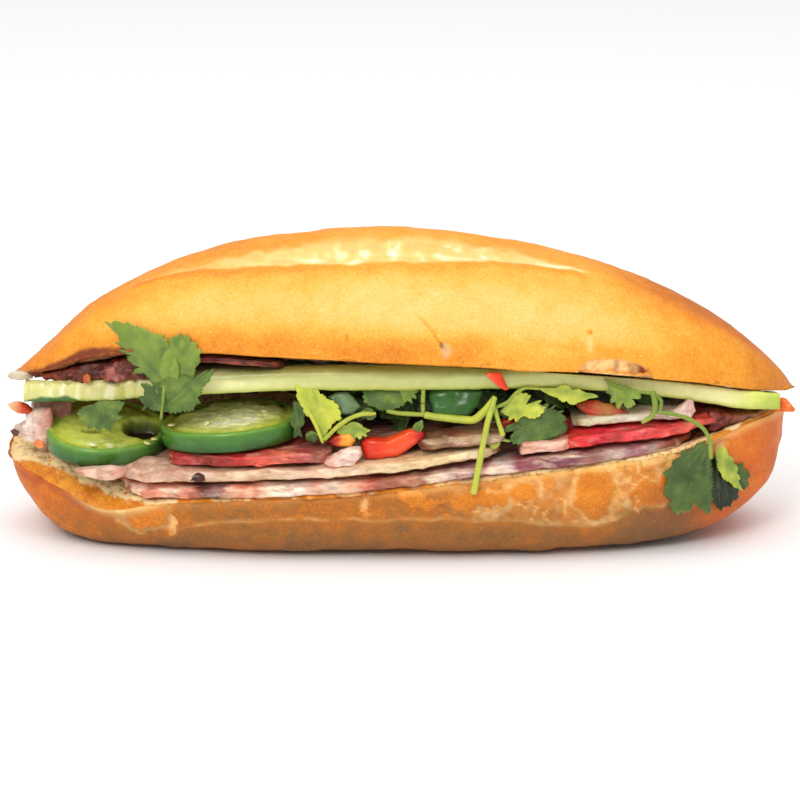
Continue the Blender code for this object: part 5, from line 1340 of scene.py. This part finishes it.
def upper_half():
    """Rings of crust from the front foot over the dome to the back foot, superellipses of power 2.3 in the
    leaning plane lowered along the opened cut, and then forward again under the cut face."""
    crust_points, cut_points = 170, 80
    x = stations(TOP_ENDS, 340)[:, None]
    end = share_along(x, TOP_ENDS)
    width, tuck = top_half_width(x), rim_tuck(x)
    height = TOP_DOME_HEIGHT * np.clip(1 - end ** 2, 0, 1) ** np.where(x < 1, 1.04, 0.73)
    lens = (split_width(x) / SPLIT_WIDEST) ** 0.6
    turn = np.linspace(0, np.pi, 721) + 0 * x
    u = -width * signed_power(np.cos(turn), 2 / 2.3)
    past = u - split_front(x)
    opened = (lens * (SPLIT_DEPTH * smooth(past, -0.4, 4.0) * (1 - smooth(past, 8, 20))
                      - 0.7 * np.exp(-((past + 1.5) / 1.8) ** 2)))
    v = height * np.abs(np.sin(turn)) ** (2 / 2.3) - opened * np.sin(turn)
    foot = 0.985 * width
    lines = np.stack([np.hstack([-foot, u, foot]), np.hstack([-tuck, v, -tuck]),
                      np.degrees(np.hstack([turn[:, :1], turn, turn[:, -1:]]))], -1)
    crust_line = evenly(lines, np.linspace(0, 1, crust_points) ** 1.2)
    cut_u = foot * (1 - 2 * (1 - (1 - np.linspace(0, 1, cut_points + 2)[1:-1]) ** 1.35))
    flat = np.stack([x + 0 * cut_u, cut_u, 0 * cut_u], -1)
    cut_v = -tuck + 0.4 * (1 + noise(flat, 14, 81)) * np.clip(width / 30, 0, 1) - top_bulge(x, cut_u)
    ring = np.concatenate([crust_line, np.stack([cut_u, cut_v, 0 * cut_u], -1)], axis=1)
    px, u, v, turn = x + 0 * ring[..., 0], ring[..., 0], ring[..., 1], ring[..., 2]
    rings = np.stack([px, u * np.cos(LEAN) + v * np.sin(LEAN),
                      top_level(px) - u * np.sin(LEAN) + v * np.cos(LEAN)], -1)
    pz = rings[..., 2]
    on_cut = np.zeros(px.shape)
    on_cut[:, crust_points:] = 1
    front = (1 - on_cut) * (turn < 75)
    above_rim = pz - pz[:, :1]
    behind_rim = np.where(on_cut > 0, u + foot, 0)
    ragged = noise(rings, 3.2, 82)
    fine = noise(rings, 1.2, 83)

    # the opened cut: a crisp jagged lip in front, white patches just behind it and a soft shoulder beyond
    past = u - split_front(px) + 0.45 * ragged + 0.35 * noise(rings, 6, 84)
    wide = split_width(px)
    on_top = (1 - on_cut) * (turn < 120)
    lip = np.exp(-((past + 1.3) / 1.1) ** 2) * smooth(wide, 0, 1) * on_top
    streaks = noise(rings * (1.2, 0.4, 0.4), 2.4, 95)
    band = (smooth(past, -0.1, 0.5) * (1 - smooth(past + 2.0 * noise(rings, 3.4, 94) + streaks,
                                                  0.85 * wide - 0.8, 1.1 * wide + 1.6)))
    band = band * smooth(wide, 0.1, 0.8) * on_top
    white = (np.exp(-((past - 2.0) / 2.0) ** 2) * smooth(noise(rings * (0.45, 1, 1), 3.4, 89), -0.3, 0.3)
             * smooth(px, -52, -20))
    white = np.clip(white + 0.7 * smooth(streaks, 0.2, 0.6) * smooth(px, -30, -12), 0, 1)
    split = band * (0.40 + 0.16 * streaks + 0.5 * white) * (0.55 + 0.45 * smooth(px, -58, -30))

    # flaws of the front crust: a scallop where it flaked off the rim, a thin crack that runs down to a grey
    # flake, a few brown marks and a pale streak
    scallop = through([(46.2, 0), (48.4, 2.6), (52.5, 4.6), (56, 4.0), (60, 3.4), (63, 2.4), (65.4, 0)], px)
    scallop = scallop + 1.0 * noise(flat_line(px), 2.6, 85)
    torn = front * smooth(scallop - above_rim, -0.3, 0.5) * (np.abs(px - 55.8) < 9.6)
    across = np.abs(px - through([(57, 11.8), (59, 10.5), (64.6, 6.5), (68.4, -0.8)], pz) + 0.7 * ragged)
    crack = front * np.exp(-(across / 0.5) ** 2) * smooth(pz, 56, 58) * (1 - smooth(pz, 63, 69))
    foot_flake = front * spot(px + 0.6 * ragged, pz, (11.7, 57.2), (1.5, 2.3))
    streak = front * spot(px, pz, (49.3, 58.0), (0.9, 2.6))
    marks = spot(px, pz, (10.9, 58.6), (0.9, 0.8)) + 0.9 * spot(px, pz, (49.2, 61.0), (1.0, 0.6))
    marks = (marks + 0.55 * spot(px, pz, (-13.4, 60.5), (0.35, 1.8))
             + 0.6 * spot(px, pz, (64.2, 50.6), (0.6, 1.8)))
    marks = front * marks

    lift = 0.4 * noise(rings, 19, 86) + 0.22 * noise(rings, 6.5, 87) + 0.09 * noise(rings, 2.2, 88)
    lift = lift + 0.5 * lip + 0.35 * band * noise(rings * (0.6, 1, 1), 2.2, 89) - 0.55 * torn - 0.3 * crack
    lift = lift - 0.25 * smooth(foot_flake, 0.3, 0.7)
    pits = (smooth(0.46 - bubbles(rings, 4.4, 90), 0, 0.3)
            + 0.5 * smooth(0.42 - bubbles(rings, 2.1, 91), 0, 0.25))
    cut_lift = -pits - 0.3 + 0.25 * noise(rings, 7, 92)
    rings = rings + outward(rings) * (lift * (1 - on_cut) + cut_lift * on_cut)[..., None]

    # how far it is browned, by degrees round from the front foot: deep along the rim, pale over the front of
    # the dome, deeper again behind the cut, and one even brown at both tips
    bake = through([(0, 0.59), (3, 0.50), (6.5, 0.35), (11, 0.25), (16, 0.22), (24, 0.24), (33, 0.32),
                    (41, 0.38), (54, 0.38), (64, 0.43), (80, 0.47), (110, 0.50), (150, 0.60),
                    (180, 0.70)], turn + 3 * noise(rings, 9, 96))
    near_end = smooth(-px, 48, 95) + smooth(px, 42, 88)
    bake = bake + (0.52 + 0.08 * smooth(turn, 25, 60) - bake) * near_end * (1 - smooth(turn, 95, 145))
    bake = bake + 0.07 * smooth(-px, 5, 40) * smooth(turn, 2, 8) * (1 - near_end)
    bake = bake - 0.14 * (1 - smooth(turn, 1, 6)) * smooth(px, 14, 36) * (1 - near_end)
    bake = bake + 0.13 * smooth(px, 45, 66) * smooth(turn, 38, 64) * (1 - smooth(turn, 95, 150))
    tip = smooth(np.abs(share_along(px, TOP_ENDS)), 0.82, 0.985)
    bake = bake + (0.58 - bake) * tip
    bake = bake + 0.03 * noise(rings, 13, 93) + 0.03 * ragged + 0.03 * fine
    bake = bake + 0.13 * lip + 0.5 * smooth(marks, 0.3, 0.8) + 0.22 * smooth(crack, 0.2, 0.8)
    pale = np.clip(split + 0.4 * smooth(streak, 0.3, 0.8) + 0.22 * torn, 0, 1)
    # a dark red-brown band along the left front rim: smeared pate together with a painted shadow along the
    # rim
    smear = smooth(-px, 58, 70) * (1 - smooth(-px, 97, 101)) * front
    smear = (smear * smooth(through([(-101, 0.4), (-96, 1.4), (-90, 2.4), (-80, 3.0), (-70, 2.6),
                                     (-58, 0)], px) + 0.5 * ragged - above_rim, -0.2, 1.4))
    stain = (on_cut * smooth(-px, 52, 62) * (0.8 + 0.2 * fine) + smear * (1.0 + 0.2 * fine)
             + 0.16 * front * smooth(px, 84, 100))
    stain = (stain + torn * smooth(noise(rings * (1, 0.25, 0.25), 1.3, 97), -0.1, 0.5) * 0.42
             + 0.7 * torn * smooth(px, 59.5, 62))
    stain = np.clip(stain + 0.25 * smooth(foot_flake, 0.3, 0.8), 0, 1)
    crumb = (on_cut * smooth(behind_rim + 0.4 * ragged, 0.6, 1.6) + 0.5 * torn
             + 0.6 * smooth(foot_flake, 0.3, 0.8))
    crumb = np.clip(crumb, 0, 1)
    rust = 0.4 * smooth(px, 62, 84) * smooth(turn, 36, 64) * (1 - smooth(turn, 100, 160)) * (1 - tip)
    rust = (rust + 0.36 * tip) * (1 - on_cut)
    poles = [(place, 0, float(top_level(np.array(place)))) for place in TOP_ENDS]
    return skin(rings, poles, bake=np.clip(np.where(on_cut > 0, 0.55, bake), 0, 1), crumb=crumb, split=pale,
                stain=stain, rust=rust)


piece("roll_upper_half", crust, "crust", ["bread_top"], upper_half())


# ------------------------------------------------------------------ crumbs
# Flakes of crust and crumb that fell when the roll was cut.  They lie on the cut face of the lower half,
# just behind its front rim, near both ends.


def bit(middle, size, seed, **marks):
    """A crumb: a small ball of rings pushed in and out unevenly."""
    s = np.radians(np.linspace(-72, 72, 6))[:, None]
    turn = np.linspace(0, 2 * np.pi, 9, endpoint=False)
    ball = np.stack([np.cos(s) * np.cos(turn), np.cos(s) * np.sin(turn), np.sin(s) + 0 * turn], -1)
    rings = ball * (1 + 0.45 * noise(ball, 0.8, seed))[..., None] * np.array(size) / 2 + middle
    return skin(rings, **marks)


random = np.random.default_rng(21)
crumbs = []
for k in range(22):
    x = random.uniform(-100, -64) if k < 9 else random.uniform(46, 96)
    y = random.uniform(0.2, 2.4) + 2.2 - float(bottom_half_width(np.array(x)))
    z = float(bottom_cut(np.array(x), np.array(y))) + 0.15
    size = random.uniform(0.4, 1.0) * np.array([1.2, 1.0, 0.7])
    crumbs.append(bit((x, y, z), size, int(random.integers(999)), bake=random.uniform(0.3, 0.6),
                      crumb=float(random.random() < 0.8),
                      split=0.0, stain=0.2 * random.random(), rust=0.0))
piece("crust_crumbs", crust, "crust", ["bread_bottom"], *crumbs)


# ------------------------------------------------------------------ floor, light and camera
# A plain pale floor under a broad soft light, and a long lens a little above the table.

mesh = bpy.data.meshes.new("floor")
mesh.from_pydata([(-4, -4, 0), (4, -4, 0), (4, 4, 0), (-4, 4, 0)], [], [(0, 1, 2, 3)])
floor = bpy.data.objects.new("floor", mesh)
bpy.context.scene.collection.objects.link(floor)
paper, tree, place, shader = blank("white paper")
fill(tree, shader, {"Base Color": "#fbfbfb", "Roughness": 0.9})
mesh.materials.append(paper)

world = bpy.data.worlds.new("soft room")
world.use_nodes = True
fill(world.node_tree, world.node_tree.nodes["Background"], {"Color": "#ffffff", "Strength": 0.47})
bpy.context.scene.world = world


def soft_light(name, place, aim, side, power):
    """A square area light at a place in metres, turned to face a point."""
    lamp = bpy.data.lights.new(name, "AREA")
    lamp.size, lamp.energy = side, power
    thing = bpy.data.objects.new(name, lamp)
    thing.location = place
    turn = np.array(aim, float) - np.array(place, float)
    thing.rotation_euler = (np.arccos(-turn[2] / np.linalg.norm(turn)), 0,
                            np.arctan2(turn[1], turn[0]) - np.pi / 2)
    bpy.context.scene.collection.objects.link(thing)
    return thing


top_light = soft_light("top_light", (0.0, -0.1, 1.7), (0.0, 0.2, 0.0), 2.6, 30)
key_light = soft_light("key_light", (-0.4, -1.1, 0.9), (0, 0, 0.03), 0.5, 7.5)

camera = bpy.data.cameras.new("long_lens")
camera.type, camera.sensor_width, camera.lens = "PERSP", 36.0, 151.0
view = bpy.data.objects.new("long_lens", camera)
tilt = np.radians(16.0)
view.location = (0.0, -0.9 * np.cos(tilt), 0.0343 + 0.9 * np.sin(tilt))
view.rotation_euler = (np.pi / 2 - tilt, 0.0, 0.0)
bpy.context.scene.collection.objects.link(view)
bpy.context.scene.camera = view
bpy.context.scene.view_settings.view_transform = "Standard"
